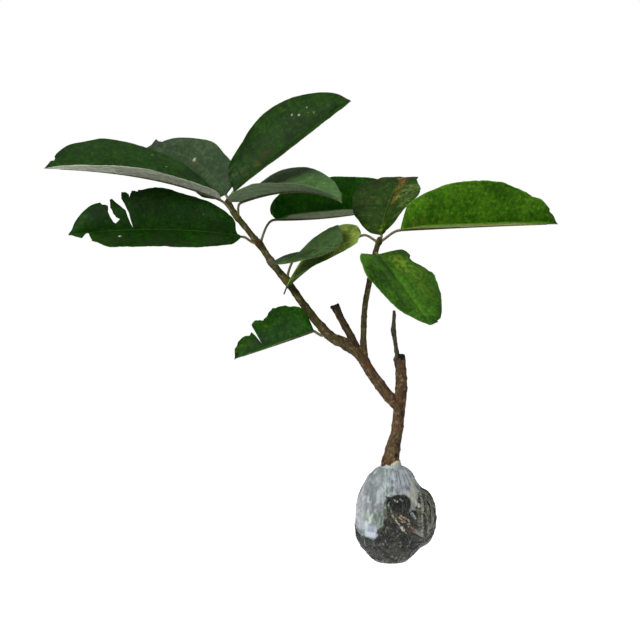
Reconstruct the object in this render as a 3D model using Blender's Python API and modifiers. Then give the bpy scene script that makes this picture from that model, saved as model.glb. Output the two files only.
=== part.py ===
"""Air-layered sapling: a cut shoot with a film-wrapped root ball, two boughs and twelve large leaves.

Blender 4.5, metres, +Z up. Sizes are written in millimetres and scaled by MM. The origin is the centre of
the flat underside of the root ball; the crown spreads along X and the plant's front faces -Y.
"""
import math

import bmesh
import bpy
from mathutils import Vector

MM = 0.001
GAP = 0.3            # running gap between neighbouring pieces
WELD = 0.000001      # metres within which two points are one
BLADE = 1.2          # blade thickness
PETIOLE_R = 1.35     # leaf stalk radius
RIB_REACH = 0.5      # share of the blade along which the stalk runs on as the midrib
RIB_BELOW = 0.5      # how far its axis lies under the blade's middle
RIB_TAPER = 0.35     # how much thinner its far end is
EDGE_MIN = 1.3       # narrowest half blade at a tip or slit
END_FADE = 0.03      # share of a leaf over which its fold opens out at either end

for old in list(bpy.data.objects):
    bpy.data.objects.remove(old, do_unlink=True)

plant = bpy.data.collections.new("air_layered_sapling")
bpy.context.scene.collection.children.link(plant)

# ---------------------------------------------------------------- named sizes
BALL_H = 106.0       # root ball, underside to neck
FOOT_R = 20.5        # flat underside
NECK_R = 12.0        # where the film closes on the trunk
SOCKET_Z = 82.0      # depth to which the trunk runs into the ball
COLLAR_X, COLLAR_R, COLLAR_H = -2.8, 10.4, 5.4       # gathered mouth of the film
COLLAR_SLANT = 0.2   # its rim climbs to the right

# height, centre x, half width, half depth of the main lobe
BALL_RINGS = [
    (0.0, -2.5, FOOT_R, FOOT_R), (3.0, -2.6, 21.8, 21.3), (9.0, -2.6, 27.6, 25.6), (17.0, -4.2, 32.9, 29.6),
    (28.0, -6.3, 35.7, 32.0), (46.0, -6.3, 35.8, 33.0), (60.0, -5.8, 35.0, 32.5), (72.0, -4.5, 33.4, 31.0),
    (85.0, -2.9, 30.5, 28.0), (96.0, -2.6, 24.4, 22.2), (103.0, -1.4, 18.8, 17.4),
    (BALL_H, -2.0, NECK_R, NECK_R),
]
BULGE_AT, BULGE_R = (30.5, -3.0, 49.0), (17.0, 23.0, 32.5)
MELT = 7.0           # how softly the bulge runs into the main lobe
BALL_REACH = 80.0    # farther out than any of its surface
BALL_LEVELS = (0, 3, 9, 18, 28, 38, 48, 58, 68, 78, 87, 94, 100, 104, BALL_H)

# axis points with radius: x, y, z, r
LIMBS = {
    "trunk": [(-3.4, 0, SOCKET_Z, 8.3), (-3.4, 0, 105, 9.2), (-3.2, 0, 113, 9.0), (-2.1, 0, 119, 8.3),
              (-0.9, 0, 126, 7.8), (1.3, 0, 136, 6.7), (4.0, 0, 147, 6.1), (5.3, 0, 159, 6.0),
              (5.9, 0, 169, 6.2), (7.2, 0, 181, 6.0), (8.3, 0, 193, 6.0), (8.1, 0, 203, 5.8),
              (7.6, 0, 217, 5.4), (7.4, 0, 226, 5.2), (7.2, 0, 231, 4.5)],
    "main_bough": [(6.5, 0, 171.5, 5.6), (-6.4, 0, 185.7, 5.8), (-16.2, 0, 198.6, 5.5),
                   (-23.3, 0, 208.6, 5.4), (-30.9, 0, 220.3, 5.4), (-36.4, 0, 229.8, 5.9),
                   (-44.2, 0, 237, 5.9), (-56.8, 0, 245, 5.6), (-66.8, 0, 249.3, 5.1),
                   (-73.4, 0, 254.5, 4.8), (-80.5, 1, 262.6, 4.5), (-88.8, 1, 272.3, 4.1),
                   (-103.4, 1.5, 291.8, 3.7), (-111.2, 2.8, 303.4, 3.7), (-118.8, 4.0, 313.4, 4.1),
                   (-126.8, 5.2, 322.8, 3.3), (-134.8, 6.5, 333.0, 4.1), (-141.0, 7.7, 342.2, 2.9),
                   (-148.0, 9.0, 352.4, 3.8), (-154.2, 10.0, 359.4, 3.0), (-160.7, 11.0, 367.7, 2.8),
                   (-169.3, 12.4, 377.9, 2.9), (-175.1, 13.3, 385.1, 3.0),
                   (-183.5, 15, 400, 2.4)],
    "cut_stub": [(-39.7, 0, 234.2, 3.9), (-44.1, 2, 244, 3.9), (-49.6, 5, 254.7, 3.7),
                 (-54.5, 8, 263.3, 3.6), (-60.6, 10.5, 274.5, 3.6), (-65, 13, 284.5, 4.1)],
    "side_bough": [(-33.1, 0, 229.8, 4.2), (-33.6, -1, 238.7, 3.6), (-33.9, -3, 247.6, 3.1),
                   (-33.7, -6, 258.7, 2.8), (-33.6, -9, 269.8, 2.8), (-33.1, -12, 280.9, 2.7),
                   (-31.9, -15, 292, 2.6), (-30.1, -19, 303, 2.6), (-28, -22, 314, 2.6),
                   (-23.3, -28, 340.7, 2.5), (-17.5, -34, 362, 2.3)],
    "dead_twig": [(4.6, 0, 217, 3.0), (3.6, -0.2, 225.3, 3.2), (3.5, -0.5, 231, 2.1),
                  (2.5, -1, 236.5, 2.0), (1.7, -1.3, 242, 1.75), (0.8, -1.6, 247.6, 1.8),
                  (0.1, -2, 253.2, 2.0), (-0.9, -2, 258.7, 2.5), (-0.6, -2, 264.2, 1.8),
                  (-0.5, -2, 269.8, 1.6), (-0.1, -2, 275.3, 1.5), (-0.3, -2, 280, 1.3)],
}
LIMB_PARENT = {"main_bough": "trunk", "dead_twig": "trunk",
               "cut_stub": "main_bough", "side_bough": "main_bough"}
LIMB_COLOUR = {"trunk": (0.105, 0.075, 0.05), "main_bough": (0.12, 0.09, 0.055),
               "side_bough": (0.13, 0.095, 0.055), "cut_stub": (0.06, 0.04, 0.032),
               "dead_twig": (0.085, 0.065, 0.055)}

# Each leaf: foot = start of the stalk inside its bough; base, mid, tip = the midrib; half = nominal half
# width; back_edge, front_edge = share of it at the EDGE_AT stations (the front matches the back if not
# given); lean = how far the side veins sweep forward, lobe = how far the rounded base reaches back, both
# as shares of the length; lift_back, lift_front = fold of each half blade in degrees, at base and tip;
# rise = heading of the stalk; torn_back, torn_front = share left where the margin is bitten or torn.
EDGE_AT = (0.0, 0.03, 0.08, 0.16, 0.27, 0.40, 0.53, 0.66, 0.78, 0.87, 0.94, 0.98, 1.0)
LEAVES = {
    "leaf_top_back": dict(
        bough="main_bough", colour=(0.055, 0.095, 0.045),
        foot=(-182.6, 15.6, 397.8), base=(-185.4, 24.0, 405.3), mid=(-222.5, 62, 442), tip=(-277.9, 105, 457),
        half=39.6, lobe=0.0, lift_back=(45, 45), lift_front=(-75, -75), rise=(-0.2, 0.35, 1),
        back_edge=(0.3, 0.48, 0.66, 0.7, 0.79, 0.69, 0.56, 0.42, 0.24, 0.25, 0.31, 0.35)),
    "leaf_top_right": dict(
        bough="main_bough", colour=(0.03, 0.085, 0.022),
        foot=(-181.0, 13.6, 398.6), base=(-176.8, 12, 411), mid=(-114.4, 10, 460.8), tip=(-47.9, 8, 508.9),
        half=45.8, lobe=0.04, lift_back=(63, 63), lift_front=(-3.5, -3), rise=(0.3, 0, 1),
        back_edge=(0.27, 0.56, 0.78, 1.01, 1.12, 1.06, 0.91, 0.72, 0.54, 0.33, 0.13, 0.09),
        front_edge=(0.44, 0.7, 0.93, 1.03, 1.15, 1.25, 1.12, 0.8, 0.56, 0.33, 0.08, 0.05)),
    "leaf_upper_left": dict(
        bough="main_bough", colour=(0.022, 0.07, 0.016),
        foot=(-175.1, 12.8, 386.1), base=(-189, 10, 401.0), mid=(-272.9, 6, 425.6), tip=(-382.5, 5, 435.6),
        half=52.7, lobe=0.0, lift_back=(39, 39), lift_front=(23, 5), rise=(-1, -0.3, 0.4),
        back_edge=(0.12, 0.24, 0.46, 0.75, 0.91, 1.02, 1.06, 0.9, 0.77, 0.48, 0.2, 0.2),
        front_edge=(0.32, 0.44, 0.51, 0.66, 0.93, 1.03, 1.06, 0.91, 0.76, 0.48, 0.2, 0.2)),
    "leaf_upper_front": dict(
        bough="main_bough", colour=(0.06, 0.105, 0.048),
        foot=(-171.8, 12.4, 381.7), base=(-168.5, 6.5, 399.2),
        mid=(-107.3, -40, 413.1), tip=(-58.7, -88, 403.5),
        half=43.7, lobe=0.06, lift_back=(29, 29), lift_front=(2, 31), rise=(0.15, -0.1, 1),
        back_edge=(0.45, 0.81, 1.28, 1.2, 0.99, 0.75, 0.56, 0.36, 0.25, 0.11, 0.04, 0.03),
        front_edge=(0.46, 0.74, 1.06, 1.08, 0.86, 0.68, 0.56, 0.43, 0.34, 0.14, 0.04, 0.02)),
    "leaf_middle_left": dict(
        bough="main_bough", colour=(0.016, 0.055, 0.012),
        foot=(-149.3, 8.6, 354.0), base=(-165.4, 3, 361.6), mid=(-258.3, 3, 369.1), tip=(-357, 2, 363.3),
        half=45.5, lobe=0.0, lift_back=(76, 76), lift_front=(-26, -16), rise=(-0.9, -0.4, -0.5),
        back_edge=(0.23, 0.49, 0.72, 0.87, 1.03, 0.95, 0.81, 0.72, 0.53, 0.29, 0.09, 0.08),
        front_edge=(0.38, 0.52, 0.73, 0.87, 0.92, 0.98, 0.98, 0.63, 0.4, 0.19, 0.05, 0.05),
        torn_back=[(0, 0.55), (0.04, 0.55), (0.045, 1), (0.607, 1.04), (0.626, 0.12), (0.642, 0.12),
                   (0.65, 0.75), (0.67, 0.97), (0.692, 0.9), (0.706, 0.28), (0.728, 0.28),
                   (0.744, 0.87), (0.76, 1)],
        torn_front=[(0.79, 1), (0.81, 0.95), (0.842, 0.76), (0.862, 0.46), (0.875, 0.46), (0.882, 1)]),
    "leaf_middle_right": dict(
        bough="main_bough", colour=(0.014, 0.055, 0.011),
        foot=(-147.3, 9.4, 353.7), base=(-130.7, 17.0, 379.8), mid=(-55.8, 53, 381.0), tip=(15.4, 90, 392.1),
        half=45.0, lobe=0.075, lift_back=(68, 68), lift_front=(11, 20), rise=(0.35, 0.1, 0.9),
        back_edge=(0.42, 0.59, 0.84, 0.99, 1.04, 0.98, 0.91, 0.8, 0.63, 0.36, 0.08, 0.04),
        front_edge=(0.47, 0.72, 1.03, 1.05, 0.87, 0.9, 0.89, 0.79, 0.63, 0.38, 0.08, 0.04)),
    "leaf_lower_front": dict(
        bough="main_bough", colour=(0.05, 0.105, 0.04),
        foot=(-117.5, 4.0, 315.1), base=(-106.7, -9, 343.4), mid=(-86.5, -61, 353.3), tip=(-62, -112, 358),
        half=41.0, lobe=0.062, lift_back=(37, 37), lift_front=(-14, -32), rise=(0.05, -0.35, 1),
        back_edge=(0.54, 0.77, 0.95, 1.03, 0.9, 0.75, 0.58, 0.43, 0.31, 0.13, 0.05, 0.03),
        front_edge=(0.45, 0.69, 0.88, 1.0, 0.9, 0.76, 0.58, 0.43, 0.31, 0.13, 0.05, 0.03)),
    "leaf_lowest_left": dict(
        bough="main_bough", colour=(0.02, 0.07, 0.014),
        foot=(-77.0, 0.6, 258.6), base=(-88.4, -3, 258.6), mid=(-123.8, -3, 245.1), tip=(-175.2, -2, 226.9),
        half=41.4, lobe=0.045, lean=0.06, lift_back=(54, 54), lift_front=(7, 7), rise=(-0.35, -0.3, -0.9),
        back_edge=(0.56, 0.73, 0.87, 1.02, 1.09, 1.01, 0.96, 0.74, 0.58, 0.44, 0.36, 0.37),
        torn_back=[(0.46, 1), (0.582, 0.81), (0.66, 0.96), (0.7, 0.96), (0.708, 0.2), (0.73, 0.51),
                   (0.75, 0.73), (0.786, 0.68), (0.864, 0.93), (1, 0.85)]),
    "leaf_side_top": dict(
        bough="side_bough", colour=(0.04, 0.095, 0.022),
        foot=(-17.6, -34, 359.4), base=(-16, -34, 365.6), mid=(-7.3, 8, 395.3), tip=(10.4, 60, 424.1),
        half=45.0, lobe=0.026, lean=0.06, lift_back=(-4, -4), lift_front=(46, 19), rise=(0.1, 0.1, 1),
        back=(-1, 0, 0), face=(0, -0.5, 0.85),
        back_edge=(0.2, 0.34, 0.52, 0.74, 0.87, 0.94, 0.93, 0.86, 0.6, 0.48, 0.26, 0.2),
        front_edge=(0.22, 0.44, 0.58, 0.75, 0.92, 0.86, 0.74, 0.6, 0.51, 0.48, 0.24, 0.18)),
    "leaf_side_right": dict(
        bough="side_bough", colour=(0.065, 0.16, 0.022),
        foot=(-18.0, -33.9, 358.3), base=(4.6, -36.5, 372.1), mid=(91.9, -16, 374), tip=(179.1, 7, 374.9),
        half=48.8, lobe=0.016, lift_back=(84, 84), lift_front=(7, 7), rise=(1, -0.1, 0.45),
        back_edge=(0.43, 0.63, 0.83, 0.99, 1.02, 0.98, 0.82, 0.65, 0.51, 0.28, 0.14, 0.06),
        front_edge=(0.44, 0.65, 0.84, 0.98, 1.02, 0.91, 0.61, 0.4, 0.3, 0.2, 0.1, 0.05)),
    "leaf_side_left": dict(
        bough="side_bough", colour=(0.05, 0.11, 0.03),
        foot=(-18.2, -33.4, 357.6), base=(-37.5, -31, 365.8), mid=(-81, -19, 338.4), tip=(-120, -4, 303.4),
        half=30.0, lobe=0.06, lift_back=(40, 40), lift_front=(-17, 0), rise=(-1, 0, 0.45),
        back_edge=(0.46, 0.69, 1.05, 1.35, 1.19, 1, 0.79, 0.52, 0.29, 0.12, 0.05, 0.04),
        front_edge=(0.51, 0.8, 1.05, 1.19, 1.09, 1.05, 0.87, 0.55, 0.3, 0.12, 0.05, 0.04)),
    "leaf_side_hanging": dict(
        bough="side_bough", colour=(0.08, 0.16, 0.03),
        foot=(-21.9, -29.6, 346.4), base=(-18.6, -38, 345.6), mid=(9.8, -63, 308.6), tip=(34, -90, 275.5),
        half=43.2, lobe=0.052, lean=0.05, lift_back=(0, 0), lift_front=(23, 8), rise=(0.3, -1, 0.15),
        back=(0.76, 0.64, 0.09), face=(0.39, -0.56, 0.73),
        back_edge=(0.7, 0.88, 1.03, 1.24, 1.13, 1.02, 0.84, 0.67, 0.52, 0.38, 0.22, 0.15),
        front_edge=(0.78, 1.07, 1.27, 1.34, 1.18, 1.02, 0.86, 0.67, 0.41, 0.24, 0.08, 0.05),
        torn_back=[(0.07, 1), (0.13, 0.93), (0.154, 0.78), (0.18, 0.75), (0.254, 0.84), (0.31, 0.97),
                   (0.358, 1)]),
}


# ---------------------------------------------------------------- helpers
def material(name, colour, roughness):
    mat = bpy.data.materials.new(name)
    mat.use_nodes = True
    shader = mat.node_tree.nodes["Principled BSDF"]
    shader.inputs["Base Color"].default_value = (*colour, 1.0)
    shader.inputs["Roughness"].default_value = roughness
    shader.inputs["Metallic"].default_value = 0.0
    mat.diffuse_color = (*colour, 1.0)
    return mat


def mesh_object(name, bm):
    mesh = bpy.data.meshes.new(name)
    bm.to_mesh(mesh)
    bm.free()
    obj = bpy.data.objects.new(name, mesh)
    plant.objects.link(obj)
    return obj


def bake(obj):
    """Apply everything on the object and keep only its mesh."""
    bpy.context.view_layer.update()
    graph = bpy.context.evaluated_depsgraph_get()
    mesh = bpy.data.meshes.new_from_object(obj.evaluated_get(graph))
    name = obj.name
    bpy.data.objects.remove(obj, do_unlink=True)
    mesh.name = name
    new = bpy.data.objects.new(name, mesh)
    plant.objects.link(new)
    return new


def weld(obj):
    """Join coincident points, split faces into triangles and face them outward, ready for a Boolean."""
    bm = bmesh.new()
    bm.from_mesh(obj.data)
    bmesh.ops.remove_doubles(bm, verts=bm.verts, dist=WELD)
    bmesh.ops.triangulate(bm, faces=bm.faces)
    bmesh.ops.recalc_face_normals(bm, faces=bm.faces)
    bm.to_mesh(obj.data)
    bm.free()
    return obj


def boolean(obj, other, operation):
    mod = obj.modifiers.new("join", "BOOLEAN")
    mod.operation = operation
    mod.solver = "EXACT"
    mod.object = other
    return bake(obj)


def keep_largest(obj):
    """Drop crumbs that a cut can leave behind, weld coincident points and face everything outward."""
    bm = bmesh.new()
    bm.from_mesh(obj.data)
    bmesh.ops.remove_doubles(bm, verts=bm.verts, dist=WELD)
    bmesh.ops.dissolve_degenerate(bm, edges=bm.edges, dist=WELD)
    bm.verts.ensure_lookup_table()
    seen, groups = set(), []
    for v in bm.verts:
        if v in seen:
            continue
        stack, group = [v], []
        seen.add(v)
        while stack:
            a = stack.pop()
            group.append(a)
            for e in a.link_edges:
                b = e.other_vert(a)
                if b not in seen:
                    seen.add(b)
                    stack.append(b)
        groups.append(group)
    groups.sort(key=len)
    for group in groups[:-1]:
        bmesh.ops.delete(bm, geom=group, context="VERTS")
    bmesh.ops.recalc_face_normals(bm, faces=bm.faces)
    bm.to_mesh(obj.data)
    bm.free()
    return obj


def finish(obj, colour, roughness, angle=40):
    """Give the object its own material and smooth shading."""
    obj.data.materials.clear()
    obj.data.materials.append(material(obj.name, colour, roughness))
    for poly in obj.data.polygons:
        poly.use_smooth = True
    obj.data.set_sharp_from_angle(angle=math.radians(angle))


def through(points, steps):
    """Catmull-Rom path with radius through the given points."""
    pts = [points[0]] + list(points) + [points[-1]]
    out = []
    for i in range(1, len(pts) - 2):
        a, b, c, d = (pts[i + k] for k in (-1, 0, 1, 2))
        for s in range(steps):
            t = s / steps
            out.append(tuple(0.5 * (2 * b[k] + (c[k] - a[k]) * t
                                    + (2 * a[k] - 5 * b[k] + 4 * c[k] - d[k]) * t * t
                                    + (3 * b[k] - a[k] - 3 * c[k] + d[k]) * t ** 3) for k in range(4)))
    out.append(tuple(points[-1]))
    return out


def tube(name, path, grow=0.0, sides=10, longer=0.0):
    """Round capped tube along a path of x, y, z, radius, carried on a little past both ends if asked."""
    path = [list(p) for p in path]
    for end, inner in ((0, 1), (-1, -2)):
        out = Vector(path[end][:3]) - Vector(path[inner][:3])
        path[end][:3] = Vector(path[end][:3]) + out.normalized() * longer
    curve = bpy.data.curves.new(name, "CURVE")
    curve.dimensions = "3D"
    curve.bevel_depth = MM
    curve.bevel_resolution = (sides - 4) // 2
    curve.use_fill_caps = True
    curve.twist_mode = "MINIMUM"
    spline = curve.splines.new("POLY")
    spline.points.add(len(path) - 1)
    for point, (x, y, z, r) in zip(spline.points, path):
        point.co = (x * MM, y * MM, z * MM, 1.0)
        point.radius = r + grow
    obj = bpy.data.objects.new(name, curve)
    plant.objects.link(obj)
    return weld(bake(obj))


# ---------------------------------------------------------------- leaf shape
def outline(leaf, u, back):
    """Half width of the blade at u, a monotone cubic through the edge shares."""
    edge = (0.03,) + tuple(leaf["back_edge" if back or "front_edge" not in leaf else "front_edge"])
    n = len(edge)
    slope = [(edge[i + 1] - edge[i]) / (EDGE_AT[i + 1] - EDGE_AT[i]) for i in range(n - 1)]
    inner = [2 * p * q / (p + q) if p * q > 0 else 0.0 for p, q in zip(slope, slope[1:])]
    turn = [slope[0]] + inner + [slope[-1]]
    i = max(k for k in range(n - 1) if EDGE_AT[k] <= max(u, 0.0) or k == 0)
    h = EDGE_AT[i + 1] - EDGE_AT[i]
    t = min(1.0, max(0.0, (u - EDGE_AT[i]) / h))
    share_here = (edge[i] * (2 * t ** 3 - 3 * t ** 2 + 1) + turn[i] * h * (t ** 3 - 2 * t ** 2 + t)
                  + edge[i + 1] * (3 * t ** 2 - 2 * t ** 3) + turn[i + 1] * h * (t ** 3 - t ** 2))
    return leaf["half"] * max(0.0, share_here)


def midrib(leaf, u):
    b, m, t = (Vector(leaf[k]) for k in ("base", "mid", "tip"))
    return b * (1 - u) * (1 - 2 * u) + m * 4 * u * (1 - u) + t * u * (2 * u - 1)


def leaf_frame(leaf, u):
    """Heading of the midrib, the direction of the back half, and the upper-face normal."""
    along = (midrib(leaf, u + 0.001) - midrib(leaf, u - 0.001)).normalized()
    face = Vector(leaf.get("face", (0, 0, 1)))
    side = face.cross(along).normalized()
    if side.dot(Vector(leaf.get("back", (0, 1, 0)))) < 0:
        side = -side
    up = along.cross(side)
    if up.dot(face) < 0:
        up = -up
    return along, side, up


def share(torn, u):
    for (u0, k0), (u1, k1) in zip(torn, torn[1:]):
        if u0 <= u <= u1:
            return k0 + (k1 - k0) * (u - u0) / (u1 - u0)
    return 1.0


def blade_point(leaf, u, v):
    """Point of the blade: u along the midrib, v from -1 (front margin) to 1 (back margin)."""
    back = v > 0
    bulge = 4 * min(1.0, u / 0.2) * (1 - min(1.0, u / 0.2))
    torn = leaf.get("torn_back" if back else "torn_front", [])
    width = outline(leaf, u, back)
    keep = max(width * share(torn, u), EDGE_MIN) / max(width, EDGE_MIN)
    reach = abs(v) * keep
    s = u + (leaf.get("lean", 0.1) * math.sin(math.pi * u) - leaf["lobe"] * bulge) * reach
    r = max(width, EDGE_MIN) * reach
    along, side, up = leaf_frame(leaf, s)
    lift0, lift1 = leaf["lift_back" if back else "lift_front"]
    flat = min(1.0, 0.3 + max(0.0, 1 - s) / END_FADE, 0.3 + max(0.0, s) / END_FADE)
    lift = math.radians(lift0 + (lift1 - lift0) * s) * flat
    return midrib(leaf, s) + (side if back else -side) * (r * math.cos(lift)) + up * (r * math.sin(lift))


def stalk_path(leaf):
    """Stalk from the bough to the blade, carried on along the underside as the midrib."""
    foot, base = Vector(leaf["foot"]), Vector(leaf["base"])
    length = (base - foot).length
    heading = Vector(leaf["rise"]).normalized() if "rise" in leaf else (base - foot).normalized()
    along, _, up = leaf_frame(leaf, 0.0)
    base = base - up * RIB_BELOW
    path = []
    for i in range(5):
        t = i / 5
        p = (foot * (2 * t ** 3 - 3 * t ** 2 + 1) + heading * length * (t ** 3 - 2 * t ** 2 + t)
             + base * (3 * t ** 2 - 2 * t ** 3) + along * length * (t ** 3 - t ** 2))
        path.append((*p, PETIOLE_R))
    for i in range(4):
        u = RIB_REACH * i / 3
        _, _, up = leaf_frame(leaf, u)
        path.append((*(midrib(leaf, u) - up * RIB_BELOW), PETIOLE_R - RIB_TAPER * i / 3))
    return path


def leaf_object(name, leaf, boughs):
    torn = {u for key in ("torn_back", "torn_front") for u, _ in leaf.get(key, [])}
    even = {0.0, 0.012, 0.03, 0.07, 0.96, 0.985, 1.0} | {0.07 + 0.89 * i / 13 for i in range(1, 13)}
    stops = sorted(torn | {u for u in even if all(abs(u - t) > 0.012 for t in torn)})
    bm = bmesh.new()
    bmesh.ops.create_grid(bm, x_segments=len(stops) - 1, y_segments=2, size=1.0)
    for vert in bm.verts:
        i = round((vert.co.x + 1) / 2 * (len(stops) - 1))
        vert.co = blade_point(leaf, stops[i], round(vert.co.y)) * MM
    blade = mesh_object(name, bm)
    solid = blade.modifiers.new("thickness", "SOLIDIFY")
    solid.thickness = BLADE * MM
    solid.offset = 0.0
    solid.use_even_offset = False
    blade = weld(bake(blade))
    stalk = tube(name + "_stalk", stalk_path(leaf), sides=6)
    blade = boolean(blade, stalk, "UNION")
    bpy.data.objects.remove(stalk, do_unlink=True)
    blade = boolean(blade, boughs[leaf["bough"]], "DIFFERENCE")
    return keep_largest(blade)


# ---------------------------------------------------------------- root ball
def ball_ring(z):
    """Centre x, half width and half depth of the main lobe at height z."""
    for a, b in zip(BALL_RINGS, BALL_RINGS[1:]):
        if a[0] <= z <= b[0]:
            t = (z - a[0]) / (b[0] - a[0])
            return [a[k] + (b[k] - a[k]) * t for k in (1, 2, 3)]
    return list(BALL_RINGS[-1][1:])


def ball_surface(x, y, z):
    """Signed level of the ball at a point: the main lobe and the side bulge, melted into each other."""
    cx, hw, hd = ball_ring(z)
    angle = math.atan2(y, x - cx)
    mid = math.sin(math.pi * min(1, max(0, z / BALL_H)))
    uneven = 1 + mid * (0.022 * math.sin(3 * angle + z * 0.07)
                        + 0.016 * math.sin(5 * angle - z * 0.11 + 1.0))
    lobe = (math.hypot((x - cx) / hw, y / hd) / uneven - 1) * hw
    bulge = (math.dist((x / BULGE_R[0], y / BULGE_R[1], z / BULGE_R[2]),
                       [a / r for a, r in zip(BULGE_AT, BULGE_R)]) - 1) * BULGE_R[0]
    near = max(0.0, 1 - abs(lobe - bulge) / MELT)
    return min(lobe, bulge) - near * near * MELT / 4


def ball_radius(z, angle):
    """Distance from the lobe's own axis out to the surface, found by halving."""
    cx = ball_ring(z)[0]
    inner, outer = 0.0, BALL_REACH
    for _ in range(24):
        r = (inner + outer) / 2
        if ball_surface(cx + r * math.cos(angle), r * math.sin(angle), z) < 0:
            inner = r
        else:
            outer = r
    return inner


def root_ball(trunk_fit):
    levels = (0,) + BALL_LEVELS + (BALL_H,)
    shrink = [0.0] + [1.0] * len(BALL_LEVELS) + [0.0]
    bm = bmesh.new()
    bmesh.ops.create_uvsphere(bm, u_segments=26, v_segments=len(levels) - 1, radius=1.0)
    for vert in bm.verts:
        k = round(math.acos(max(-1, min(1, -vert.co.z))) / math.pi * (len(levels) - 1))
        z = levels[k]
        angle = math.atan2(vert.co.y, vert.co.x)
        radius = ball_radius(z, angle) * shrink[k]
        vert.co = Vector((ball_ring(z)[0] + radius * math.cos(angle), radius * math.sin(angle), z)) * MM
    ball = weld(mesh_object("root_ball", bm))
    return keep_largest(boolean(ball, trunk_fit, "DIFFERENCE"))


def film_collar(trunk_fit):
    """The gathered mouth of the film wrap, a short sleeve round the trunk with a slanting rim."""
    bm = bmesh.new()
    bmesh.ops.create_cone(bm, cap_ends=True, segments=24, radius1=(NECK_R - 2 * GAP) * MM,
                          radius2=COLLAR_R * MM, depth=COLLAR_H * MM)
    for vert in bm.verts:
        top = vert.co.z > 0
        vert.co += Vector((COLLAR_X, 0, BALL_H + GAP + COLLAR_H / 2)) * MM
        if top:
            vert.co.z += (vert.co.x - COLLAR_X * MM) * COLLAR_SLANT
    collar = mesh_object("film_collar", bm)
    return keep_largest(boolean(collar, trunk_fit, "DIFFERENCE"))


# ---------------------------------------------------------------- assembly
fits = {}
for name in ("trunk", "main_bough", "side_bough"):
    fits[name] = tube("fit_" + name, through(LIMBS[name], 2), grow=GAP, sides=10, longer=GAP)

ball = root_ball(fits["trunk"])
finish(ball, (0.055, 0.045, 0.036), 0.45, angle=60)
collar = film_collar(fits["trunk"])
finish(collar, (0.62, 0.62, 0.55), 0.35)

for name, points in LIMBS.items():
    limb = tube(name, through(points, 2), sides=8 if name in ("cut_stub", "dead_twig") else 10)
    if name in LIMB_PARENT:
        limb = boolean(limb, fits[LIMB_PARENT[name]], "DIFFERENCE")
    finish(keep_largest(limb), LIMB_COLOUR[name], 0.85)

for name, leaf in LEAVES.items():
    finish(leaf_object(name, leaf, fits), leaf["colour"], 0.4, angle=50)

for fit in fits.values():
    bpy.data.objects.remove(fit, do_unlink=True)
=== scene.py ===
"""The looks of the air-layered sapling: veined leaves, bark, film-wrapped root ball, floor, light and camera.

Sizes are in millimetres in the frame's own axes and are scaled by MM when a mesh is made.
"""
import math
import random

import bpy
import numpy as np
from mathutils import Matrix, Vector, noise
from mathutils.geometry import delaunay_2d_cdt
from mathutils.kdtree import KDTree


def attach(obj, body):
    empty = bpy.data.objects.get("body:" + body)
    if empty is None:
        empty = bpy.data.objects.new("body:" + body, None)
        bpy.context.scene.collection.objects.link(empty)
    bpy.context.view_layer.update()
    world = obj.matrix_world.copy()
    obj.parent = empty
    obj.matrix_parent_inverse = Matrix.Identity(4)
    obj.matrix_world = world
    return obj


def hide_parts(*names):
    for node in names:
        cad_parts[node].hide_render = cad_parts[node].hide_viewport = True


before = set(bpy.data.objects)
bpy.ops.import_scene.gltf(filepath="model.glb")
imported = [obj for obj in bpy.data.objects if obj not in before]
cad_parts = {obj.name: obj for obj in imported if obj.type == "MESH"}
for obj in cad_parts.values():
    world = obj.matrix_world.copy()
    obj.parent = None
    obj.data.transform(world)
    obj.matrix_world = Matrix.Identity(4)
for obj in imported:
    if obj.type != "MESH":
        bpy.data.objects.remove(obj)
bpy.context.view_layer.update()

MM = 0.001
BODY = "root"

# ---------------------------------------------------------------- sizes shared with the solids
BALL_H, FOOT_R, NECK_R, SOCKET_Z = 106.0, 20.5, 12.0, 82.0
# rings of the ball: z, centre x, half width, half depth
BALL_RINGS = [
    (0.0, -2.5, FOOT_R, FOOT_R), (3.0, -2.6, 21.8, 21.3), (9.0, -2.6, 27.6, 25.6),
    (17.0, -4.2, 32.9, 29.6), (28.0, -6.3, 35.7, 32.0), (46.0, -6.3, 35.8, 33.0),
    (60.0, -5.8, 35.0, 32.5), (72.0, -4.5, 33.4, 31.0), (85.0, -2.9, 30.5, 28.0),
    (96.0, -2.6, 24.4, 22.2), (103.0, -1.4, 18.8, 17.4), (BALL_H, -2.0, NECK_R, NECK_R),
]
BULGE_AT, BULGE_R, MELT = (30.5, -3.0, 49.0), (17.0, 23.0, 32.5), 7.0
PETIOLE_R = 1.35
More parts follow.
